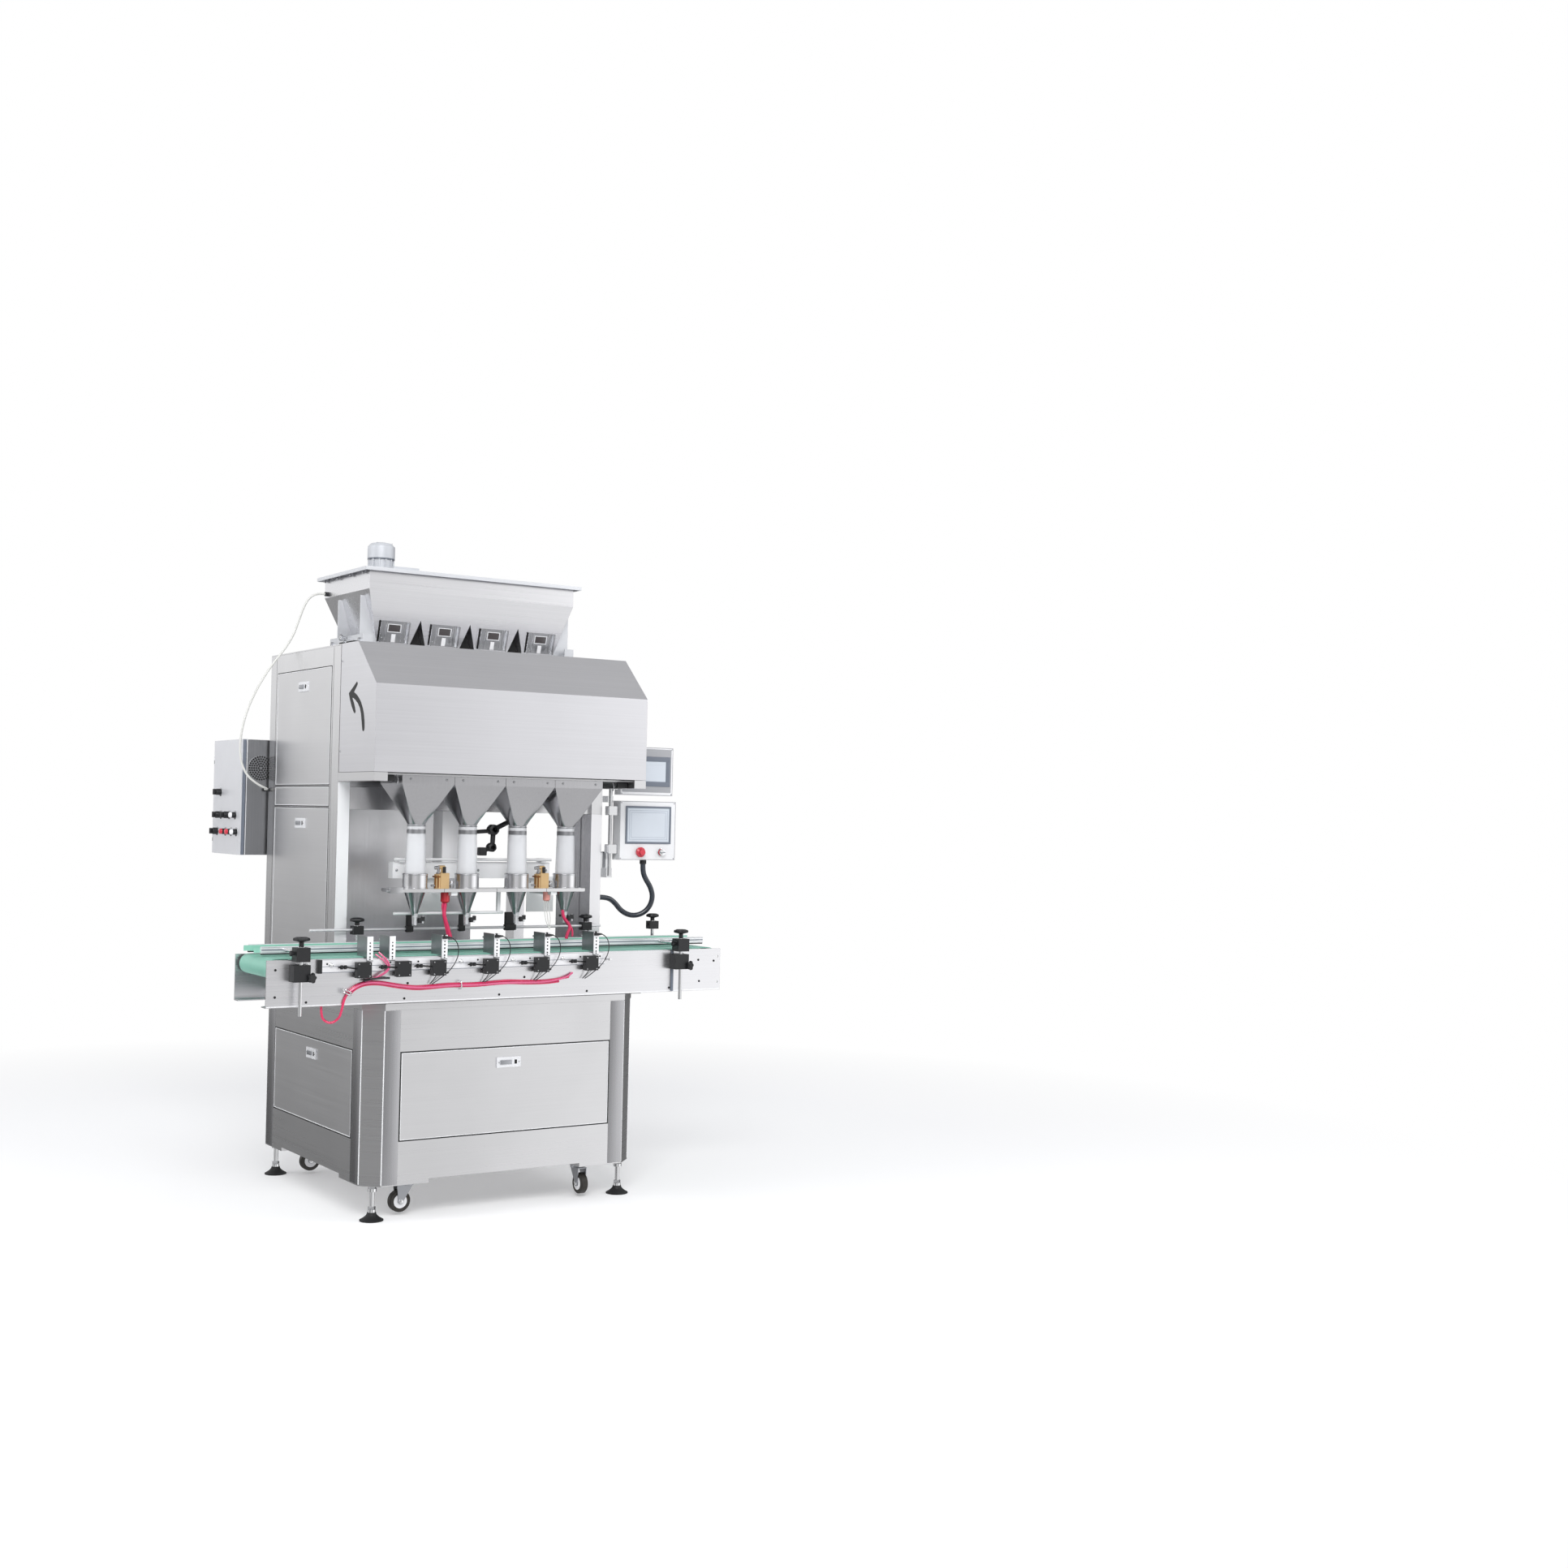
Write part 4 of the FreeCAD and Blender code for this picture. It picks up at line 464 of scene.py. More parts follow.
conduit_way = steps((1234, 316.5, 1196), [
    (0, 0, 0), (0, 0, -29), (12, 0, -57), (35, -2, -89), (48, 0, -128), (38, 8, -169), (9, 19, -196),
    (-30, 33, -202), (-66, 46, -184), (-94, 52, -148)]) + [(1108, 370, 1066), (1071, 370, 1066)]
conduit = cord_curve("panel_conduit", conduit_way, 10.0, hose_black)
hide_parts("hmi_conduit")
lead_way = steps((102, 768, 2184), [
    (0, 0, 0), (-31, 0, 0), (-58, 4, -18), (-73, 12, -46), (-86, 26, -97), (-101, 44, -160), (-130, 63, -217),
    (-165, 82, -269), (-198, 104, -333), (-223, 124, -396), (-240, 144, -460), (-248, 161, -524),
    (-247, 176, -580), (-237, 188, -634), (-212, 195, -681), (-172, 200, -711)]) + [
    (-37, 978, 1459), (-12, 1003, 1453), (-12, 1038, 1453)]
lead = cord_curve("hopper_level_lead", lead_way, 4.0, lead_white)
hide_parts("hopper_sensor_cable")
print("cords made")

# %% [markdown]
# The cabinet and the column are closed with flush paddle latches. A latch is a pressed tray
# with a lever on one side, a key barrel on the other and a screw at each end.

# %% Latches
levers, keyholes, screws, surrounds = piles(4)


def latch(mid, across, out, wide=84, tall=26):
    """mid is the middle of the tray's face; across and out are unit directions."""
    at, u, n, w = Vector(mid), Vector(across), Vector(out), Vector(UP)

    def corner(du, dn, dw):
        return at + u * du + n * dn + w * dw
    for pile, u0, u1, n0, n1, half, soft in (
            (levers, -0.40, 0.12, 0.0, 3.2, 0.28, 1.0), (keyholes, 0.26, 0.37, 0.0, 0.6, 0.28, 0.2),
            (surrounds, -0.52, 0.52, -4.1, -3.2, 0.58, 0.3)):
        pile.block(corner(wide * u0, n0, -tall * half), corner(wide * u1, n1, tall * half), soft)
    for du in (-wide * 0.46, wide * 0.46):
        screws.bolt(corner(du, 0, 0), out, 2.6, 1.8)


latch((520, -4, 511.5), RIGHT, FRONT)
latch((520, 1029, 511.5), RIGHT, BACK)
latch((-4, 512.5, 511.5), FRONT, LEFT)
latch((1044, 512.5, 511.5), BACK, RIGHT)
latch((-4, 685, 1828), FRONT, LEFT)
latch((-4, 685, 1330), FRONT, LEFT)
levers.done("latch_levers", zinc)
keyholes.done("latch_key_wells", dark_gap)
screws.done("latch_screws", screw_steel)
surrounds.done("latch_surrounds", black_rubber)

# %% [markdown]
# Sheet metal is folded and welded, then ground flush, and only a fine line stays where two
# panels meet. These seams are thin dark strips let into the skin. The cabinet's corner posts
# are folded from sheet whose grain runs upright, and their skins are given a darker grey than
# the doors. A black border of painted shadow and a pale border of painted highlight run round
# every door, and each fold of the cabinet has a pale rod of painted highlight. The conveyor
# plate has a pale painted highlight along its lower edge and a black painted shadow under it.

# %% Seams and fold lines
BASE_WALLS = [(1, -1, 0, (58, 982)), (1, 1, 1025, (58, 982)), (0, -1, 0, (58, 967)), (0, 1, 1040, (58, 967))]
BASE_Z, DOOR_Z = (122, 708), (266, 567)
seams, skins, door_shadow_borders, edges, joint = piles(5)


def plate(pile, plane, low, high, u0, u1, z0, z1, soft=0.0):
    """A thin block on a face across x, where plane is 0, or across y, where it is 1."""
    if plane:
        pile.block((u0, low, z0), (u1, high, z1), soft)
    else:
        pile.block((low, u0, z0), (high, u1, z1), soft)


def framed(pile, plane, low, high, u0, u1, z0, z1, wide, soft=0.0):
    """Four strips that frame the rectangle u0 to u1 by z0 to z1."""
    for a, b, c, d in ((u0, u1, z0, z0 + wide), (u0, u1, z1 - wide, z1),
                       (u0, u0 + wide, z0 + wide, z1 - wide), (u1 - wide, u1, z0 + wide, z1 - wide)):
        plate(pile, plane, low, high, a, b, c, d, soft)


def border(pile, plane, at, out, u0, u1, z0, z1, wide, proud):
    """Strips on a face at the place at, whose outside is the direction out."""
    low, high = sorted((at - 0.2 * out, at + proud * out))
    framed(pile, plane, low, high, u0, u1, z0, z1, wide)


for y in (395, 975):
    plate(seams, 0, -0.25, 0.3, y - 0.6, y + 0.6, 737, 1955)
    plate(seams, 0, 1054.7, 1055.25, y - 0.6, y + 0.6, 1386, 1955)
for plane, out, at, places in BASE_WALLS:
    for u in places:
        plate(seams, plane, at - 0.3 * out, at + 0.25 * out, u - 0.6, u + 0.6, *BASE_Z)
    for u0, u1 in (((59, 115), (925, 981)) if plane else ((59, 131), (894, 966))):
        plate(skins, plane, at - 0.2 * out, at + 0.7 * out, u0, u1, *BASE_Z, 0.3)
seams.block((849, 1034.5, 740), (850.4, 1035.25, 1382), 0)
for x in (317, 519, 717):
    seams.block((x - 0.5, 119.6, 1100), (x + 0.5, 120.2, 1112), 0)
seams.block((1163.5, -18.4, 737), (1165, -17.8, 888), 0)
seams.done("panel_seams", dark_gap)
skins.done("cabinet_corner_skins", steel_corner)
DOORS = [(1, 0, -1, 117, 923, *DOOR_Z), (1, 1025, 1, 117, 923, *DOOR_Z), (0, 0, -1, 134, 891, *DOOR_Z),
         (0, 1040, 1, 134, 891, *DOOR_Z), (0, 0, -1, 410, 960, 745, 1388), (0, 0, -1, 410, 960, 1392, 1464),
         (0, 0, -1, 410, 960, 1468, 1890), (0, 1055, 1, 410, 960, 1468, 1890)]
# Round every door, a black border in the gap is painted shadow, and a pale border inside it is painted highlight.
for plane, at, out, u0, u1, z0, z1 in DOORS:
    wide = 4.5 if (z0, z1) == DOOR_Z else 3.4
    border(door_shadow_borders, plane, at, out, u0 - 1, u1 + 1, z0 - 1, z1 + 1, wide, 0.5)
    border(edges, plane, at, out, u0 - 1 + wide, u1 + 1 - wide, z0 - 1 + wide, z1 + 1 - wide, 2.2, 0.9)
# A pale rod on each fold of the cabinet is a painted highlight.
for xs, ys in (((58.5, 981.5), (1.3, 1023.7)), ((1.3, 1038.7), (58.5, 966.5))):
    for x in xs:
        for y in ys:
            edges.rod((x, y, 122.5), (x, y, 707.5), 2.2, 8)
# A pale strip along the conveyor plate's lower edge and one on the column's front edge are painted highlight, and
# the black strip under the plate is painted shadow.
edges.block((-358, -18.7, 737.2), (1380, -17.9, 740.4), 0.3)
edges.block((1, 328.2, 741), (44, 329.2, 1478), 0.3)
door_shadow_borders.block((0, -17.6, 733.4), (1040, -6, 736.9), 0)
door_shadow_borders.done("painted_shadow_at_doors_and_plate", black_rubber)
edges.done("painted_highlight_strips", highlight_satin)
for y0, y1 in ((-18.9, -17.9), (289.9, 290.9)):
    joint.block((1165, y0, 737.5), (1177, y1, 887.5), 0.2)
joint.done("belt_section_joint", frame_grey)

# %% [markdown]
# The hood's left side carries a painted arrow that shows which way it opens. It is a curved
# brush stroke with a bent head, drawn as one skin of paint on the sheet.

# %% Opening arrow on the hood
STROKE = [(248, 1785), (183, 1819), (177, 1822), (171, 1817), (173, 1810), (202, 1787), (178, 1778), (157, 1766),
          (137, 1750), (120, 1730), (109, 1709), (102, 1685), (100, 1662), (102, 1654), (109, 1649), (118, 1653),
          (121, 1663), (127, 1686), (134, 1710), (145, 1730), (164, 1747), (188, 1760), (212, 1769), (214, 1765),
          (201, 1751), (189, 1732), (184, 1720), (187, 1714), (194, 1714), (203, 1721), (219, 1738), (236, 1762)]
stroke = Pile().sheet([(-0.4, y, z) for y, z in STROKE], (0.6, 0, 0))
stroke.done("hood_opening_arrow", ink_black, "hood")
hood_screws = Pile()
for y, z in ((314, 1585), (314, 1900)):
    hood_screws.bolt((0, y, z), LEFT, 3.4)
    hood_screws.bolt((1055, y, z), RIGHT, 3.4)
hood_screws.done("hood_side_screws", screw_steel, "hood")

# %% [markdown]
# Each gate on the hopper is a pressed slide with a sight window, a light strip under it and
# two clamping screws. A pale frame of painted highlight runs round each window, black strips of
# painted shade run down the gate's sides, and dark sheets of painted shade stand in the tunnels
# between the outlets. The gates lean with the hopper's front, so their parts are placed along
# that slope.

# %% Gate windows and screws
slope = math.atan2(64.0, 209.0)
gate_up = Vector((0, -math.sin(slope), math.cos(slope)))
gate_out = Vector((0, -math.cos(slope), -math.sin(slope)))
tilt = Matrix.Rotation(slope, 3, "X")
panes, frames, strips, gate_bolts, gate_ribs, gate_and_tunnel_shade = piles(6)
for x in LANES:
    foot = Vector((x, 424.4, 1990.0))

    def gate_point(dx, up, out):
        return foot + Vector((dx, 0, 0)) + gate_up * up + gate_out * out
    # In this table the window frames are pale painted highlight, and the two black strips beside each gate are
    # painted shade.
    for pile, dx, up, wide, tall, out, thick in (
            (panes, 0, 52.3, 45, 25, 1.0, 1.6), (strips, 0, 16, 16, 30, 3.1, 1.0),
            (frames, 0, 66.3, 51, 2.8, 3.4, 1.2), (frames, 0, 38.3, 51, 2.8, 3.4, 1.2),
            (frames, -24.2, 52.3, 2.8, 26, 3.4, 1.2), (frames, 24.2, 52.3, 2.8, 26, 3.4, 1.2),
            (gate_and_tunnel_shade, -57.6, 39, 3, 78, 1.6, 3.6), (gate_and_tunnel_shade, 57, 39, 1.8, 78, 1.6, 3.6),
            (gate_ribs, -31, 38, 5, 70, 3.4, 2.0), (gate_ribs, 31, 38, 5, 70, 3.4, 2.0),
            (gate_ribs, 44, 46, 3, 60, 3.4, 2.0)):
        at = gate_point(dx, up, out)
        half = Vector((wide / 2, thick / 2, tall / 2))
        pile.block(at - half, at + half, 0.5, tilt)
    for dx in (-44, 44):
        gate_bolts.bolt(gate_point(dx, 14, 3.0), gate_out, 3.6)
panes.done("gate_sight_windows", sight_glass)
frames.done("gate_window_frames", highlight_satin)
# Dark sheets in the tunnels between the outlets are painted shade.
for x in LANES[:3]:
    for y in (452, 672):
        gate_and_tunnel_shade.sheet([(x + 98 - 35, y, 1963), (x + 98 + 35, y, 1963), (x + 98, y, 2065)], (0, 1.5, 0))
gate_and_tunnel_shade.done("painted_shade_in_gates_and_tunnels", dark_gap)
strips.done("gate_light_strips", shell_grey)
gate_ribs.done("gate_pressed_ribs", steel_gate)
gate_bolts.done("gate_bolts", screw_steel)

# %% [markdown]
# Under the hood hang the four filling heads. Every funnel flange has two screws in front, a
# clamp band holds each tube on its spigot, and each cup has a rolled rim. A tip has a small
# clear cut-off fitting and a black air clip on its right.

# %% Filling heads
flange_screws, bands, rims, clear_bits, clips, dark_posts, cones = piles(7)
for x in LANES:
    for dx in (-66, 68):
        flange_screws.bolt((x + dx, 75, 1492), FRONT, 4.0, 3.0)
    bands.turned((x, 170, 1303), UP, [(31.8, 0), (32.6, 1), (32.6, 15), (31.8, 16)], 40)
    bands.turned((x, 170, 1329), UP, [(31.7, 0), (32.3, 1), (32.3, 4), (31.7, 5)], 40)
    rims.turned((x, 170, 1159), UP, [(43.0, 0), (44.4, 1), (44.4, 4), (43.0, 5)], 40)
    rims.turned((x, 170, 1112), UP, [(43.0, 0), (44.6, 0), (44.6, 3), (43.0, 4)], 40)
    cones.turned((x, 170, 1017.3), UP, [(8.9, 0), (9.5, 0.2), (36.4, 82), (35.9, 82.2)], 48)
    clear_bits.turned((x + 2, 166, 984), UP, [(6.0, 0), (6.0, 26), (8.6, 28), (8.6, 40), (7.0, 42)], 16)
    clips.block((x + 12, 158, 991), (x + 24, 170, 1009), 1.5)
    clips.block((x + 24, 160, 998), (x + 36, 168, 1014), 1.5)
    clear_bits.rod((x + 30, 164, 990), (x + 30, 164, 1016), 3.2)
    clips.rod((x + 8, 164, 1002), (x + 30, 164, 1002), 2.6)
flange_screws.done("funnel_flange_screws", screw_steel)
bands.done("tube_clamp_bands", band_steel)
rims.done("cup_rims", steel_turned)
cones.done("nozzle_cone_skins", steel_cone)
clear_bits.done("tip_cutoff_fittings", tube_clear)
clips.done("tip_air_clips", black_abs)
for x, wide in ((268, 20), (470, 17), (664, 38)):
    dark_posts.block((x - wide / 2, 300, 950), (x + wide / 2, 312, 1018), 1.5)
    dark_posts.block((x - wide / 2 - 3, 294, 952), (x + wide / 2 + 3, 312, 972), 1.5)
dark_posts.rod((870, 306, 1002), (905, 306, 1002), 4.5)
dark_posts.rod((904, 306, 1004), (904, 306, 960), 4.5)
dark_posts.done("rear_rod_holders", black_abs)

# %% [markdown]
# Two bronze ball vibrators shake the nozzle plate. Air comes in through a steel elbow on top,
# and a coloured silencer hangs below the plate with its hose.

# %% Vibrators and their hoses
elbows, bodies, ribs_in_shade, reds, pinks = piles(5)
for x in (326, 718):
    bodies.block((x + 2, 160, 1166), (x + 14, 172, 1188), 2.0)
    elbows.turned((x - 12, 168, 1164), UP, [(7, 0), (7, 5), (5, 6), (5, 20), (7, 21), (7, 27), (0, 27)], 6)
    elbows.turned((x - 12, 168, 1184), LEFT, [(4.5, 0), (4.5, 8), (6, 9), (6, 14), (0, 14)], 16)
    # The ribs and the flange over them are dark bronze as painted shade on the vibrator's body.
    for k in range(5):
        a = math.radians(200 + 35 * k)
        ribs_in_shade.rod((x - 7 + 18.5 * math.cos(a), 170 + 18.5 * math.sin(a), 1114),
                 (x - 7 + 18.5 * math.cos(a), 170 + 18.5 * math.sin(a), 1158), 2.6)
    ribs_in_shade.block((x - 26, 152, 1150), (x + 20, 188, 1156), 1.5)
    elbows.rod((x + 24, 165, 1126), (x + 44, 165, 1126), 5)
    elbows.turned((x + 38, 165, 1114), UP, [(6.5, 0), (6.5, 22), (5, 24), (0, 24)], 6)
    elbows.rod((x - 40, 165, 1122), (x - 26, 165, 1122), 4)
bodies.done("vibrator_inlet_blocks", black_abs)
elbows.done("vibrator_elbows", screw_steel)
ribs_in_shade.done("vibrator_ribs_painted_shade", bronze_shade_tone)
reds.turned((342, 168, 1100), DOWN, [(9, 0), (16, 4), (16, 34), (12, 38), (9, 40), (0, 40)], 24)
reds.done("silencer_red", fitting_red)
pinks.turned((742, 168, 1100), DOWN, [(10, 0), (13, 3), (13, 32), (8, 36), (0, 36)], 24)
pinks.done("silencer_pink", fitting_pink)
tubes_red, wires = piles(2)
tubes_red.tube([(342, 168, 1062), (341, 166, 1046), (334, 160, 1028), (338, 156, 1004), (346, 152, 980),
                (352, 150, 958), (356, 146, 940)], 7.0)
tubes_red.tube([(336, 172, 1060), (333, 172, 1040), (342, 166, 1020), (336, 160, 1000), (344, 156, 975),
                (350, 154, 945)], 5.0)
tubes_red.tube([(808, 164, 1030), (806, 160, 1012), (814, 156, 994), (830, 152, 980), (834, 150, 962),
                (820, 150, 944), (818, 150, 926)], 6.0)
tubes_red.tube([(812, 168, 1026), (812, 162, 1006), (824, 158, 988), (838, 154, 972), (846, 152, 950),
                (842, 150, 934)], 4.0)
tubes_red.done("product_air_hoses", hose_red)
for dx in (-8, 0, 9):
    wires.tube([(742 + dx, 168, 1066), (738 + dx, 166, 1040), (748 + dx * 1.4, 162, 1012), (744 + dx, 158, 985),
                (752, 156, 962)], 1.3)
wires.done("vibrator_leads", lead_white)

# %% [markdown]
# A jointed black arm with ball clamps holds a tool rest behind the funnels. It is bolted under
# the column's head and reaches down between the second and third heads.

# %% Jointed arm behind the funnels
arm = Pile()
arm.rod((700, 250, 1392), (628, 250, 1352), 7.5)
arm.rod((622, 250, 1349), (566, 250, 1322), 9)
arm.turned((560, 232, 1320), BACK, [(10, 0), (19, 3), (19, 30), (10, 34), (0, 34)], 28, 6, 0.03)
arm.rod((556, 250, 1316), (486, 250, 1311), 7.5)
arm.rod((562, 250, 1306), (560, 250, 1262), 9)
arm.turned((556, 236, 1256), BACK, [(8, 0), (16, 3), (16, 26), (8, 29), (0, 29)], 28, 6, 0.03)
arm.rod((552, 250, 1252), (520, 250, 1244), 8)
arm.block((506, 238, 1226), (534, 264, 1256), 4)
arm.rod((700, 250, 1388), (700, 380, 1396), 8)
arm.done("jointed_tool_arm", black_abs)

# %% [markdown]
# Bright fasteners and hooks finish the frame that carries the filling heads.

# %% Carrier and rail hardware
bits, hooks, dark = piles(3)
for x in (205, 380, 520, 640, 795):
    bits.bolt((x, 280, 1172), FRONT, 5.0, 3.5)
for x in (315, 378, 742, 826):
    bits.bolt((x, 300, 1128), FRONT, 3.4, 2.4)
for x in (140, 860):
    for y in (134, 206):
        bits.bolt((x, y, 1112), UP, 4.4, 3.0)
bits.block((112, 112, 1098), (160, 128, 1118), 1.5)
bits.rod((104, 120, 1106), (118, 120, 1106), 5)
bits.done("carrier_bolts", screw_steel)
for x in (106, 949):
    hooks.tube([(x - 3, 64, 1508), (x + 2, 62, 1500), (x + 3, 60, 1484), (x, 58, 1472), (x - 4, 60, 1470)], 2.0)
hooks.done("rail_wire_hooks", screw_steel)
# Two black blocks beside the rails' front ends are painted shade where the rails' inner sides and the gap under the
# hood lie dark.
for x0, x1 in ((50, 92), (963, 1005)):
    dark.block((x0, 52, 1482), (x1, 60, 1504), 1.5)
dark.done("painted_shade_beside_rail_ends", black_abs)

# %% [markdown]
# Along the front plate stand the container stops. A stop is a perforated strip with a photo
# eye on top, a thin lead that droops into the hose bundle, and a black valve box whose needle
# valve sticks out on its left.

# %% Stops, photo eyes and valves
BOXES = [-40.0, 101.0] + LANES
holes, eyes, thin_leads, valves, knobs, box_screws, strip_faces = piles(7)
for k, x in enumerate(BOXES):
    strip = x - 47 if k == 1 else x + 15
    for z in (893, 905, 917, 929):
        holes.block((strip + 8.5, -32.2, z - 2.6), (strip + 13.5, -31.6, z + 2.6), 0.2)
    for z in (886, 940):
        holes.turned((strip + 11, -31.7, z), FRONT, [(2.4, 0), (2.4, 0.5), (0, 0.5)], 14)
    # A pale face on each strip is a painted highlight.
    strip_faces.block((strip + 0.4, -31.8, 882), (strip + 21.6, -30.9, 961.5), 0.3)
    if k > 1:
        eyes.block((strip + 1, -42, 949), (strip + 15, -31.4, 959), 1.2)
        eyes.turned((strip + 15, -37, 954), RIGHT, [(4.2, 0), (4.2, 8), (3, 10), (3, 15), (0, 15)], 16)
        eyes.block((strip + 5, -35, 957), (strip + 11, -29, 964), 1.0)
        way = [(29, -37, 954), (46, -38, 948), (58, -40, 928), (60, -41, 896), (48, -38, 864), (28, -34, 838),
               (6, -30, 820), (-16, -27, 804), (-30, -26, 796)]
        thin_leads.tube([(strip + dx, y, z) for dx, y, z in way], 1.7)
        thin_leads.tube([(x - 4, -36, 827), (x - 8, -33, 816), (x - 16, -29, 806), (x - 24, -27, 797)], 1.5)
        thin_leads.turned((strip + 21, -33, 830), (0.62, 0, 0.78), [(0, 0), (3.4, 1), (3.4, 8), (0, 9)], 12)
    lift = 6 if k == 0 else 3
    valves.rod((x - 25, -42, 857), (x - 60, -42, 857 + lift), 2.8)
    valves.turned((x - 58, -42, 857 + lift), LEFT,
                  [(3, 0), (7, 1), (7, 9), (4.5, 10), (4.5, 13), (7.5, 14), (7.5, 21), (3, 23), (3, 29), (0, 30)], 6)
    if k not in (1, 2):
        knobs.turned((x - 107, -28, 870), FRONT, [(7.5, 0), (7.5, 3), (6, 7), (3, 9), (0, 9.5)], 24)
    for dx in (-19, 19):
        for z in (832, 872):
            box_screws.turned((x + dx, -53, z), FRONT,
                              [(2.2, 0), (2.2, 0.4), (1.2, 0.5), (1.1, 0.1), (0, 0.1)], 14)
knobs.turned((899, -18, 863), FRONT, [(3, 0), (3, 10), (6, 11), (6, 16), (0, 17)], 18)
holes.done("strip_perforations", dark_gap)
eyes.done("photo_eyes", black_abs)
strip_faces.done("stop_strip_faces", highlight_satin)
thin_leads.done("photo_eye_leads", lead_black)
valves.done("needle_valves", black_abs)
knobs.done("bar_thumb_nuts", rod_chrome)
box_screws.done("valve_box_screws", screw_steel)

# %% [markdown]
# The air hoses run in a loose bundle along the plate, held by two bright clips. One more
# strand drops out between the first two stops, and a dark tube lies beside it.

# %% Hose bundle
loose, dark_tube, clamps = piles(3)
for r, way in (
        (3.2, [(20, -22, 908), (36, -34, 892), (53, -38, 872), (54, -38, 852), (34, -36, 834), (2, -31, 822),
               (-28, -26, 812)]),
        (2.6, [(8, -22, 902), (26, -33, 888), (46, -40, 870), (48, -41, 850), (28, -38, 836), (-4, -32, 818),
               (-30, -25, 806)]),
        (3.4, [(-84, -31, 779), (-58, -32, 800), (-20, -32, 811), (30, -32, 806), (90, -31, 794), (160, -30, 784),
               (230, -30, 787), (310, -30, 790), (390, -30, 787), (470, -30, 792), (560, -30, 790),
               (640, -30, 788), (700, -30, 796), (735, -28, 806), (752, -24, 818)])):
    loose.tube(way, r)
loose.done("loose_air_tubes", hose_pink)
dark_tube.tube([(-34, -33, 816), (-6, -37, 822), (30, -38, 824), (56, -34, 822)], 3.6)
dark_tube.done("dark_air_tube", lead_black)
for x, z, lean in ((-90, 779, 62), (317, 790, 4)):
    a = math.radians(lean)
    run = Vector((math.cos(a), 0, math.sin(a)))
    across = Vector((-run.z, 0, run.x))
    for s in ((-5, 5) if x < 0 else (0,)):
        mid = Vector((x, -27, z)) + run * s
        loop = [mid + across * dx + Vector((0, dy, 0)) for dx, dy in
                ((-14, 8), (-15, -2), (-12, -9), (0, -10), (12, -9), (15, -2), (14, 8))]
        clamps.tube(loop, 2.2)
    if x < 0:
        clamps.block((x - 20, -32, z - 2), (x - 8, -18, z + 14), 1.5)
        clamps.bolt((x - 14, -32, z + 8), FRONT, 3.4)
        clamps.turned((x + 10, -32, z - 8), FRONT, [(5, 0), (5, 4), (3, 6), (0, 6)], 16)
clamps.done("hose_clips", rod_chrome)

# %% [markdown]
# Screws hold the conveyor's plates and cover, and the guide rails are extrusions with a slot
# along their face. The mounting bar ends in a plastic cap.

# %% Conveyor hardware
RAIL_X0, RAIL_X1, BAR_X0, BAR_X1 = -334, 1381, -180, 879
plate_screws, slots_and_bar_shadow, rail_shadow_strips, bar_end = piles(4)
for x, z in ((-225, 750), (117, 750), (469, 750), (815, 750), (1159, 750), (128, 801), (565, 808), (742, 808),
             (1285, 849), (1353, 844), (1290, 770), (-330, 770), (-330, 858)):
    plate_screws.bolt((x, -18, z), FRONT, 4.2)
    plate_screws.bolt((x, 290, z), BACK, 4.2)
for x in (-160, 60, 160, 380, 580, 780, 860):
    plate_screws.bolt((x, -28, 874), FRONT, 3.2)
plate_screws.done("conveyor_screws", black_abs)
for y, z0, z1 in ((106, 912.2, 915.8), (106, 905.2, 906.0), (106, 921.6, 922.4), (234, 912.2, 915.8)):
    slots_and_bar_shadow.block((RAIL_X0, y - 0.3, z0), (RAIL_X1, y + 0.3, z1), 0)
# The upper of these two lines is the mounting bar's slot, and the lower one is painted shadow along the bar's lower
# edge.
for z0, z1 in ((864.6, 866.2), (845.2, 847.0)):
    slots_and_bar_shadow.block((BAR_X0, -28.3, z0), (BAR_X1, -27.8, z1), 0)
slots_and_bar_shadow.done("extrusion_slots_and_painted_shadow", frame_grey)
# A black strip under each guide rail is painted shadow in the gap above the belt.
for y in (107, 235):
    rail_shadow_strips.block((RAIL_X0, y, 898.4), (RAIL_X1, y + 10, 902.9), 0.3)
rail_shadow_strips.done("painted_shadow_under_rails", black_abs)
bar_end.block((-191, -30, 843), (-177, -18.4, 888), 1.5)
bar_end.done("bar_end_cap", black_abs)

# %% [markdown]
# Every post is held by a black clamp with a lobed hand knob on top and a smaller star knob at
# its side.

# %% Hand knobs
WASHER = [(11, 0), (11, 1.6), (8.6, 2)]
grips, washers = piles(2)
for x in (-257, 1187):
    grips.turned((x, -50, 953), UP, [(20, 0), (25.6, 1.5), (26.4, 6), (25.2, 10), (16, 13.2), (0, 13.6)],
                 60, 6, 0.05)
    grips.turned((x + 25, -56, 833), (0.5, -0.86, 0), [(7, 0), (7, 8), (15, 10), (16, 14), (14, 20), (0, 21)],
                 50, 5, 0.16)
    grips.turned((x - 22, -50, 914), LEFT, [(6, 0), (6, 8), (9, 9), (9, 15), (0, 16)], 18)
    washers.turned((x + 31, -18, 872), FRONT, [(7, 0), (7, 2), (4.4, 2.4), (4.4, 5), (0, 5)], 24)
    washers.turned((x, -50, 931.8), UP, WASHER, 24)
for x in (74, 982, 1276):
    grips.turned((x, 306, 991), UP, [(18, 0), (23.4, 1.5), (24.2, 6), (22.6, 10), (14, 13.6), (0, 14)],
                 60, 6, 0.05)
    washers.turned((x, 306, 975.8), UP, WASHER, 24)
grips.done("hand_knobs", black_abs)
washers.done("knob_washers", rod_chrome)

# %% [markdown]
# The operator works at a touch screen with a red stop button and a key switch under it. A
# second screen hangs above. The screens are dark glass with a pale picture and no words.

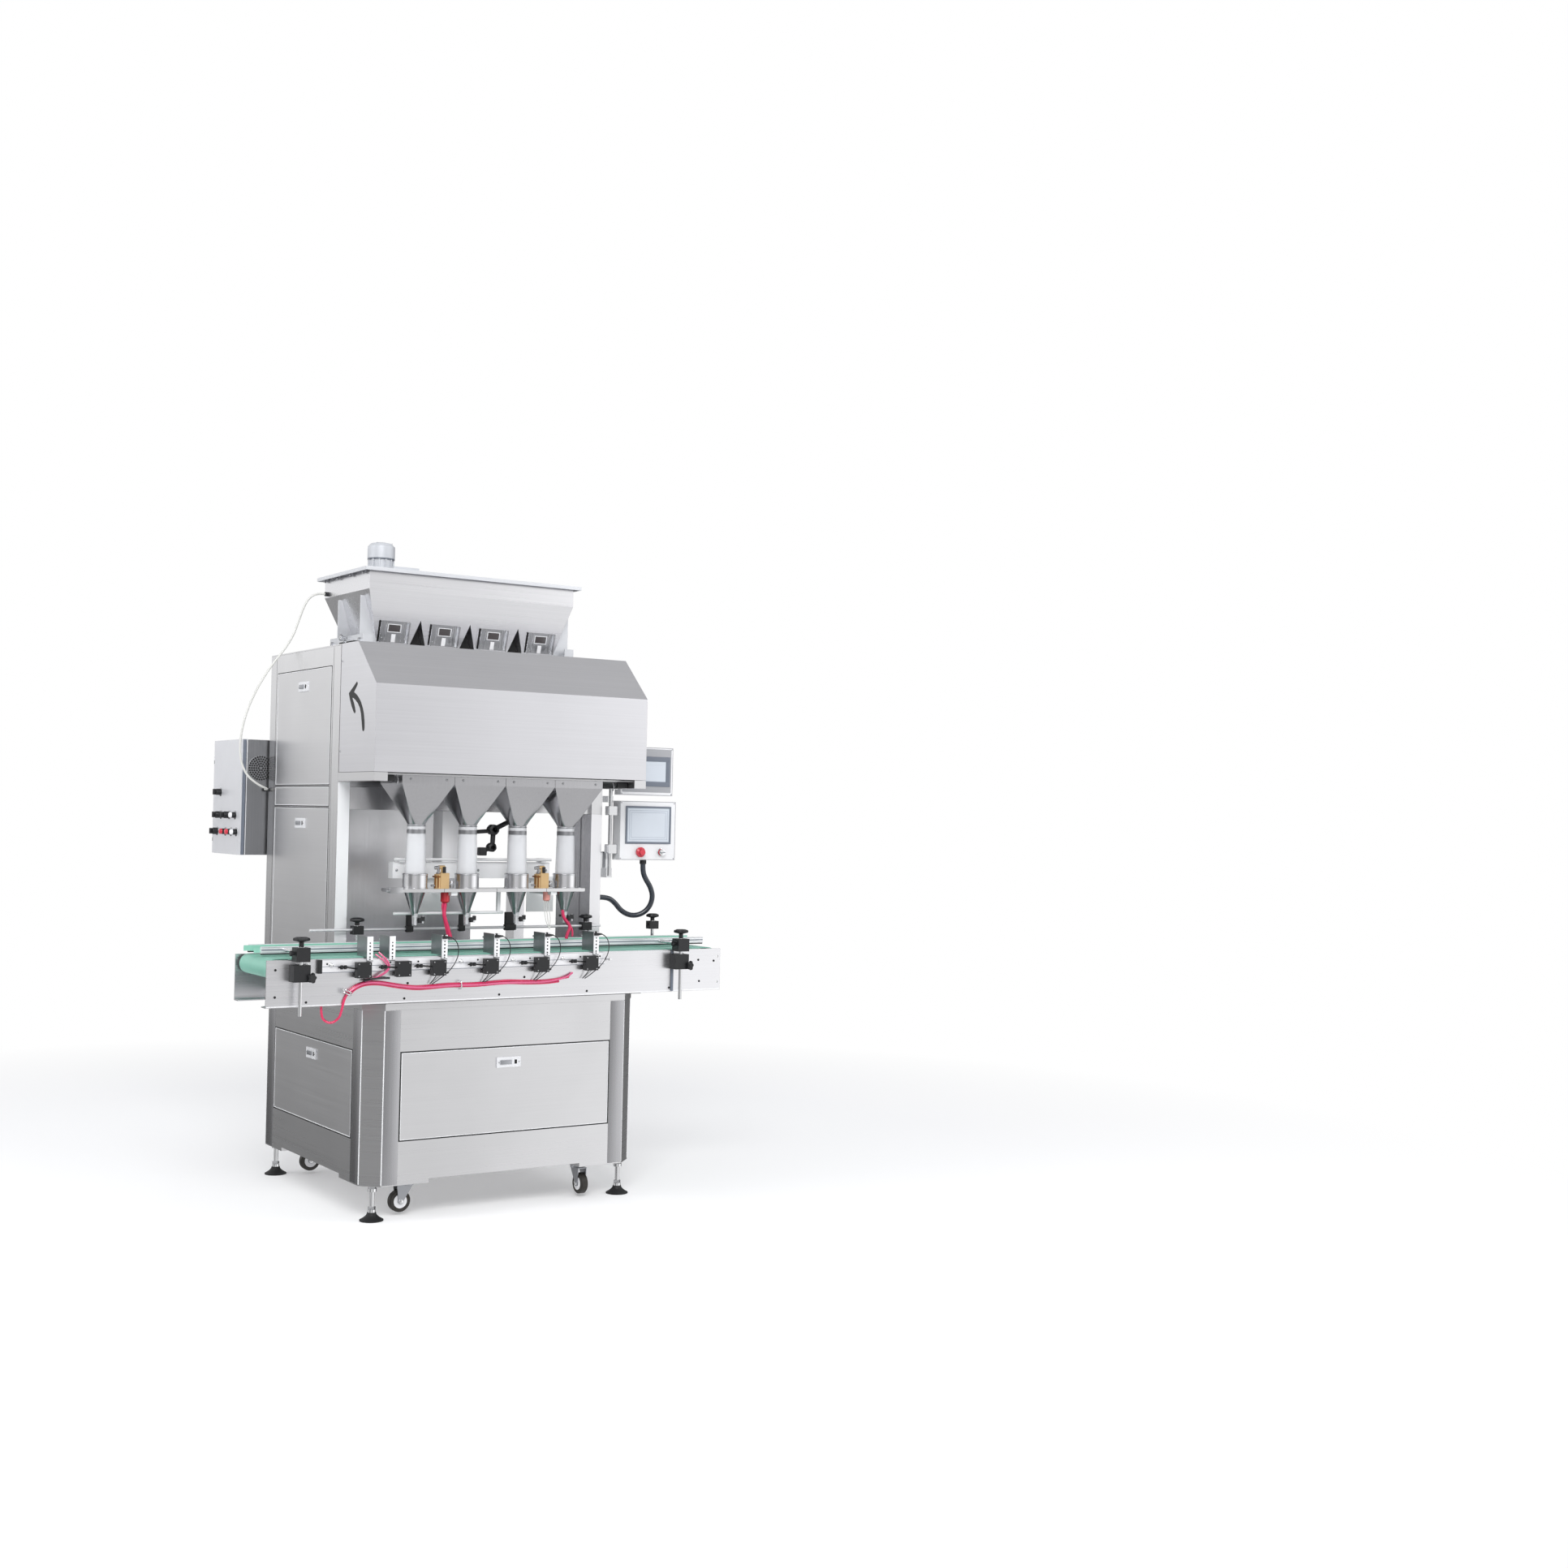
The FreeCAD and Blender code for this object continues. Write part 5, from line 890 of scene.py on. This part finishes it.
# %% Operator panels
PANEL_Y, GLASS_Y = 290, 286.5
bezels, glass, picture, rings, key_slot, case_screws, lines, outlines, rod_clamps = piles(9)


def screen(x0, x1, z0, z1, rim):
    framed(bezels, 1, GLASS_Y, 290.2, x0, x1, z0, z1, rim, 0.8)
    x0, x1, z0, z1 = x0 + rim, x1 - rim, z0 + rim, z1 - rim
    glass.block((x0, 288.0, z0), (x1, 290.2, z1), 0.2)
    picture.block((x0 + 2, 287.7, z0 + 2), (x1 - 2, 288.1, z1 - 2), 0)
    picture.block((x0 + 2, 287.5, z1 - 14), (x1 - 2, 287.8, z1 - 13), 0)


screen(1137, 1339, 1274, 1419, 7)
screen(1127, 1330, 1496, 1611, 18)
face = Pile().block((1119, 288.9, 1473), (1336, 290.2, 1640), 0.3)
face.done("display_face_plate", face_grey)
for rim in (9, 17):
    border(lines, 1, 287.6, -1, 1144 + rim, 1332 - rim, 1281 + rim, 1412 - rim, 1.4, 0.15)
border(outlines, 1, PANEL_Y, -1, 1112.4, 1360.6, 1212.4, 1437.6, 2.2, 0.25)
border(outlines, 1, PANEL_Y, -1, 1112.4, 1343.6, 1461.4, 1646.6, 2.2, 0.25)
lines.done("screen_border_lines", screen_line)
outlines.done("panel_case_outlines", face_grey)
bezels.done("screen_bezels", frame_grey)
glass.done("screen_glass", lcd_blue)
picture.done("screen_pictures", lcd_pale)
rings.turned((1296, PANEL_Y, 1242), FRONT, [(16, 0), (16, 2), (13.4, 3), (13.4, 5)], 32)
rings.turned((1202, PANEL_Y, 1242), FRONT, [(17.5, 0), (17.5, 2), (12, 3)], 32)
rings.turned((1296, 276, 1242), FRONT, [(13.1, 0), (13.1, 1.5), (6, 2), (6, 8), (0, 8)], 32)
rings.done("switch_rings", rod_chrome)
key_slot.block((1288, 266.5, 1240.6), (1304, 269, 1243.4), 0.3)
key_slot.turned((1296, 276, 1242), FRONT, [(13.2, -0.4), (13.2, 0.4), (0, 0.4)], 32)
key_slot.done("key_slot", frame_grey)
for x1, z0, z1 in ((1354, 1218, 1431), (1338, 1467, 1641)):
    for z in (z0, z1):
        for x in (1118, x1):
            case_screws.bolt((x, PANEL_Y, z), FRONT, 2.4, 1.6)
case_screws.done("panel_case_screws", screw_steel)
for z in (1253, 1399, 1498):
    rod_clamps.block((1068, 304, z - 14), (1110, 328, z + 14), 3.0)
    for x in (1078, 1098):
        rod_clamps.bolt((x, 304, z), FRONT, 4.0)
rod_clamps.done("panel_rod_clamps", alloy)

# %% [markdown]
# The control box has a perforated vent in its front face, and lamps and turn switches on its
# door, which ride with the door.

# %% Control box
VENT_X, VENT_Z, VENT_PITCH, DOOR_X = -27, 1533, 8.7, -100
CAP = [(10.4, 0), (10.4, 6), (8, 9), (0, 10)]
SWITCHES = [(1290, 1441, 20), (1280, 1353, 24), (1180, 1353, 24), (1320, 1289, 20)]
RED_LAMPS, WHITE_LAMPS = [(1220, 1289), (1155, 1289)], [(1095, 1289), (1112, 1353)]
vent, vent_holes, box_rim_highlight, door_edge_shade, red_caps, white_caps, turn_levers, rings, door_locks = piles(9)
vent.turned((VENT_X, 1050, VENT_Z), FRONT, [(49, 0), (49, 1.1), (48.7, 1.4), (0, 1.4)], 48)
for ring in range(1, 6):
    for k in range(6 * ring):
        a = 2 * math.pi * k / (6 * ring)
        at = (VENT_X + VENT_PITCH * ring * math.cos(a), 1048.7, VENT_Z + VENT_PITCH * ring * math.sin(a))
        vent_holes.turned(at, FRONT, [(3.6, 0), (3.6, 0.35), (0, 0.35)], 12)
vent.done("vent_plate", steel_box)
# A pale strip along the box body's front rim is a painted highlight.
for y0, y1, z0, z1 in ((1049.3, 1050.2, 1203, 1641), (1050.2, 1379.6, 1640.8, 1641.7),
                       (1050.2, 1379.6, 1202.3, 1203.2)):
    box_rim_highlight.block((-82.2, y0, z0), (-79.4, y1, z1), 0.2)
box_rim_highlight.done("box_rim_painted_highlight", highlight_satin)
# The door's edges are covered in dark grey as painted shade.
for y0, y1, z0, z1 in ((1049.4, 1050.2, 1203.6, 1640.4), (1050.2, 1360, 1640.8, 1641.5),
                       (1050.2, 1360, 1202.5, 1203.2)):
    door_edge_shade.block((-97, y0, z0), (-84.3, y1, z1), 0.2)
door_edge_shade.done("door_edges_painted_shade", frame_grey, "control_door")
vent_holes.done("vent_holes", dark_gap)
for y, z, deep in SWITCHES:
    turn_levers.block((DOOR_X - deep - 11, y - 3.4, z - 11), (DOOR_X - deep + 1, y + 3.4, z + 11), 1.5)
for pile, lamps in ((red_caps, RED_LAMPS), (white_caps, WHITE_LAMPS)):
    for y, z in lamps:
        pile.turned((-115.5, y, z), LEFT, CAP, 24)
for y, z in [place[:2] for place in SWITCHES] + RED_LAMPS + WHITE_LAMPS:
    rings.turned((DOOR_X, y, z), LEFT, [(17, -0.2), (17, 1.2), (13, 2.0)], 28)
turn_levers.done("door_switch_levers", black_abs, "control_door")
red_caps.done("door_lamps_red", mushroom_red, "control_door")
white_caps.done("door_lamps_white", shell_grey, "control_door")
rings.done("door_switch_rings", screw_steel, "control_door")
for z in (1255, 1590):
    door_locks.turned((-99.8, 1066, z), LEFT, [(6, 0), (6, 1), (4.2, 1.6), (4.2, 1.0), (0, 1.0)], 24)
door_locks.done("door_quarter_locks", cabinet_paint, "control_door")

# %% [markdown]
# The agitator motor stands on its bridge, bolts run round the hopper's flange and its
# brackets, and the flange has a folded lip on three sides.

# %% Hopper hardware
MOTOR_X, MOTOR_Y, RIM_Z = 244, 584, 2242
cowl, rim_bolts, bracket_bolts, lip_bolts, rim_fold = piles(5)
cowl.turned((MOTOR_X, MOTOR_Y, 2309), UP, [(47.0, 0), (49.6, 0.6), (49.6, 38), (49.0, 45), (47.4, 46.6)], 64)
cowl.turned((MOTOR_X, MOTOR_Y, 2255), UP, [(51.2, 0), (52.4, 1), (52.4, 9), (51.2, 10)], 48)
for k in range(4):
    a = math.radians(45 + 90 * k)
    cowl.bolt((MOTOR_X + 42 * math.cos(a), MOTOR_Y + 42 * math.sin(a), 2365), UP, 2.0, 1.4)
cowl.done("motor_cowl", motor_paint)
cowl_gap = Pile().turned((MOTOR_X, MOTOR_Y, 2305.6), UP, [(46, 0), (49.2, 0.2), (49.2, 3.2), (46, 3.4)], 64)
cowl_gap.done("motor_cowl_gap", frame_grey)
for name, body, y0, y1 in (("hood_rubber_stop", "hood", 238, 306), ("column_rubber_stop", "frame", 344, 372)):
    pad = Pile().block((8, y0, 1962.3), (26, y1, 1969), 1.5)
    pad.done(name, black_rubber, body)
for y in (409, 528, 651, 776):
    for x in (105, 941):
        lip_bolts.turned((x, y, RIM_Z), DOWN, [(5, 0), (5, 3), (3.4, 4), (3.4, 15), (0, 16)], 10)
for x in (200, 360, 520, 680, 840):
    for y in (358, 811):
        rim_bolts.bolt((x, y, RIM_Z), DOWN, 4.0, 4.0)
rim_bolts.done("hopper_rim_bolts", screw_steel)
lip_bolts.done("hopper_lip_bolts", band_steel)
for x0, y0, x1, y1 in ((91.6, 346, 954, 348.4), (91, 347, 93.4, 822), (92, 820.6, 954, 823), (952.6, 347, 955, 822)):
    rim_fold.block((x0, y0, 2234), (x1, y1, 2247.4), 0.8)
rim_fold.done("hopper_rim_fold", satin_rim)
for x, out in ((100, LEFT), (946, RIGHT)):
    for y in (410, 552, 670):
        bracket_bolts.turned((x, y, 1990), out, [(8, 0), (8, 2), (6.5, 2), (6.5, 8), (5, 9), (0, 9)], 6)
bracket_bolts.turned((98, 540, 2004), LEFT, [(5, 0), (5, 12), (11, 13), (11, 22), (8, 24), (0, 24)], 36, 5, 0.12)
bracket_bolts.done("bracket_bolts", screw_steel)

# %% [markdown]
# Each caster wheel has a pale hub disc and an axle nut on both sides, so the disc turns with the
# wheel, and the levelling feet are locked by hexagon nuts under the cabinet.

# %% Casters and feet
CORNERS = {"front_left": (190, 90, -1, 0), "front_right": (850, 90, 0, -1),
           "rear_left": (190, 935, -1, 0), "rear_right": (850, 935, 0, 1)}
for where, (x, y, u, v) in CORNERS.items():
    hub, nuts = piles(2)
    axle = Vector(BACK if u else RIGHT)
    mid = Vector((x + 28 * u, y + 28 * v, 47.5))
    for side in (-1, 1):
        hub.turned(mid + axle * 12.6 * side, axle * side, [(24, 0), (24, 0.9), (10, 1.3), (10, 0.6)], 32)
        nuts.turned(mid + axle * 17.8 * side, axle * side,
                    [(8.6, 0), (8.6, 1.4), (7, 1.4), (7, 5.4), (5, 6), (0, 6)], 6)
    hub.done("hub_discs_" + where, shell_grey, "wheel_" + where)
    nuts.done("axle_nuts_" + where, rod_chrome, "caster_swivel_" + where)
foot_nuts, plate_bolts = piles(2)
for x in (46, 994):
    for y in (46, 979):
        foot_nuts.turned((x, y, 106), UP, [(8.2, 0), (14.5, 0.4), (14.5, 11.6), (8.2, 11.9)], 6)
        foot_nuts.turned((x, y, 38.5), UP, [(8.2, 0), (13, 0.4), (13, 8.6), (8.2, 9)], 6)
for x, y, _, _ in CORNERS.values():
    for dx in (-26, 26):
        for dy in (-26, 26):
            plate_bolts.bolt((x + dx, y + dy, 114), DOWN, 4.4, 3.6)
foot_nuts.done("foot_lock_nuts", screw_steel)
plate_bolts.done("caster_plate_bolts", screw_steel)

# %% [markdown]
# The studio is a pale floor under an even white sky, and the camera sees both as plain white.
# Polished metal looks flat under that, so a photographer stands grey flags and white boards
# round it. Mirrors here see such a room, which is a little darker overhead than in front. White
# boards stand in front on the right and, above waist height, behind on the left. Dark flags
# stand at the left, behind on the left near the floor and behind on the right, and a pale grey
# one faces the hood.

# %% Studio sky
world = bpy.data.worlds.new("studio")
bpy.context.scene.world = world
world.use_nodes = True
sky = world.node_tree
sky.nodes.clear()
heading = add(sky, "TexCoord").outputs["Generated"]
parts = add(sky, "SeparateXYZ", {"Vector": heading})
height = span(sky, parts.outputs["Z"], -1.0, 1.0, 0.0, 1.0)
mirror = ramp(sky, height, [(0.20, 0.84), (0.46, 0.79), (0.53, 0.80), (0.64, 0.74), (0.94, 0.58)])
# Each flag or board has a direction, the degrees where it is full and where it ends, and a tone.
FLAGS = [((0.77, -0.64, -0.04), 8, 35, 1.92), ((-0.29, 0.90, -0.31), 8, 25, 0.16),
         ((-0.30, 0.90, 0.24), 10, 22, 1.46), ((-0.93, -0.36, -0.10), 10, 26, 0.32),
         ((0.87, 0.49, -0.08), 20, 44, 0.20), ((0.20, -0.98, -0.03), 6, 25, 0.64)]
for middle, full, gone, tone in FLAGS:
    facing = add(sky, "VectorMath", {0: heading, 1: Vector(middle).normalized()}, operation="DOT_PRODUCT")
    flag = span(sky, facing.outputs["Value"], math.cos(math.radians(gone)), math.cos(math.radians(full)),
                1.0, tone, interpolation_type="SMOOTHSTEP")
    mirror = multiply(sky, mirror, flag)
rays = add(sky, "LightPath").outputs
lit = add(sky, "Background", {"Color": ink("f4f5f8"), "Strength": 0.74})
seen = add(sky, "Background", {"Color": (1.0, 1.0, 1.0, 1.0), "Strength": 1.0})
mirrored = add(sky, "Background", {"Color": mirror, "Strength": 1.0})
soft = blend(sky, rays["Is Glossy Ray"], lit, mirrored)
whole = blend(sky, rays["Is Camera Ray"], soft, seen)
add(sky, "OutputWorld", {"Surface": whole.outputs[0]})
print("flags in the sky:", len(FLAGS))

# %% [markdown]
# Three soft boxes light the front, the left side and the right. The floor is plain white vinyl
# that fades into the background a few metres away, and metal looks through it at the sky.

# %% Lamps and floor


def lamp(name, at, towards, size, watts):
    data = bpy.data.lights.new(name, "AREA")
    data.shape = "RECTANGLE"
    data.size, data.size_y = size
    data.energy = watts
    item = bpy.data.objects.new(name, data)
    item.location = at
    item.rotation_euler = (Vector(towards) - Vector(at)).to_track_quat("-Z", "Y").to_euler()
    link(item)
    print(name, watts, "W")


lamp("key_softbox", (-2.5, -5.5, 4.5), (0, 0, 1.2), (3.5, 2.5), 230)
lamp("side_softbox", (-5.5, 0.5, 3.0), (0, 0, 1.2), (2.5, 3.0), 60)
lamp("right_fill", (5.0, -4.0, 4.0), (0, 0, 1.2), (3.0, 3.0), 50)
floor_mesh = bpy.data.meshes.new("floor")
floor_mesh.from_pydata([(-60, -60, 0), (60, -60, 0), (60, 60, 0), (-60, 60, 0)], [], [(0, 1, 2, 3)])
floor = bpy.data.objects.new("floor", floor_mesh)
link(floor)
floor_white, tree = blank("white_vinyl_floor")
matt = add(tree, "BsdfDiffuse", {"Color": ink("fbfbfb")})
glow = add(tree, "Emission", {"Color": (1, 1, 1, 1), "Strength": 0.08})
lifted = add(tree, "AddShader", {0: matt.outputs[0], 1: glow.outputs[0]})
shrunk = add(tree, "Mapping", {"Vector": add(tree, "TexCoord").outputs["Object"], "Scale": (0.22, 0.22, 0.22)})
away = add(tree, "TexGradient", {"Vector": shrunk.outputs[0]}, gradient_type="SPHERICAL")
near = span(tree, away.outputs["Fac"], 0.0, 0.45, 1.0, 0.0)
backdrop = add(tree, "Emission", {"Color": (1, 1, 1, 1), "Strength": 1.0})
faded = blend(tree, near, lifted, backdrop)
path = add(tree, "LightPath").outputs
clear = add(tree, "BsdfTransparent")
other = blend(tree, path["Is Glossy Ray"], matt, clear)
pick = blend(tree, path["Is Camera Ray"], other, faded)
add(tree, "OutputMaterial", {"Surface": pick.outputs[0]})
floor_mesh.materials.append(floor_white)
bpy.context.scene.view_settings.view_transform = "Standard"
print("studio ready")
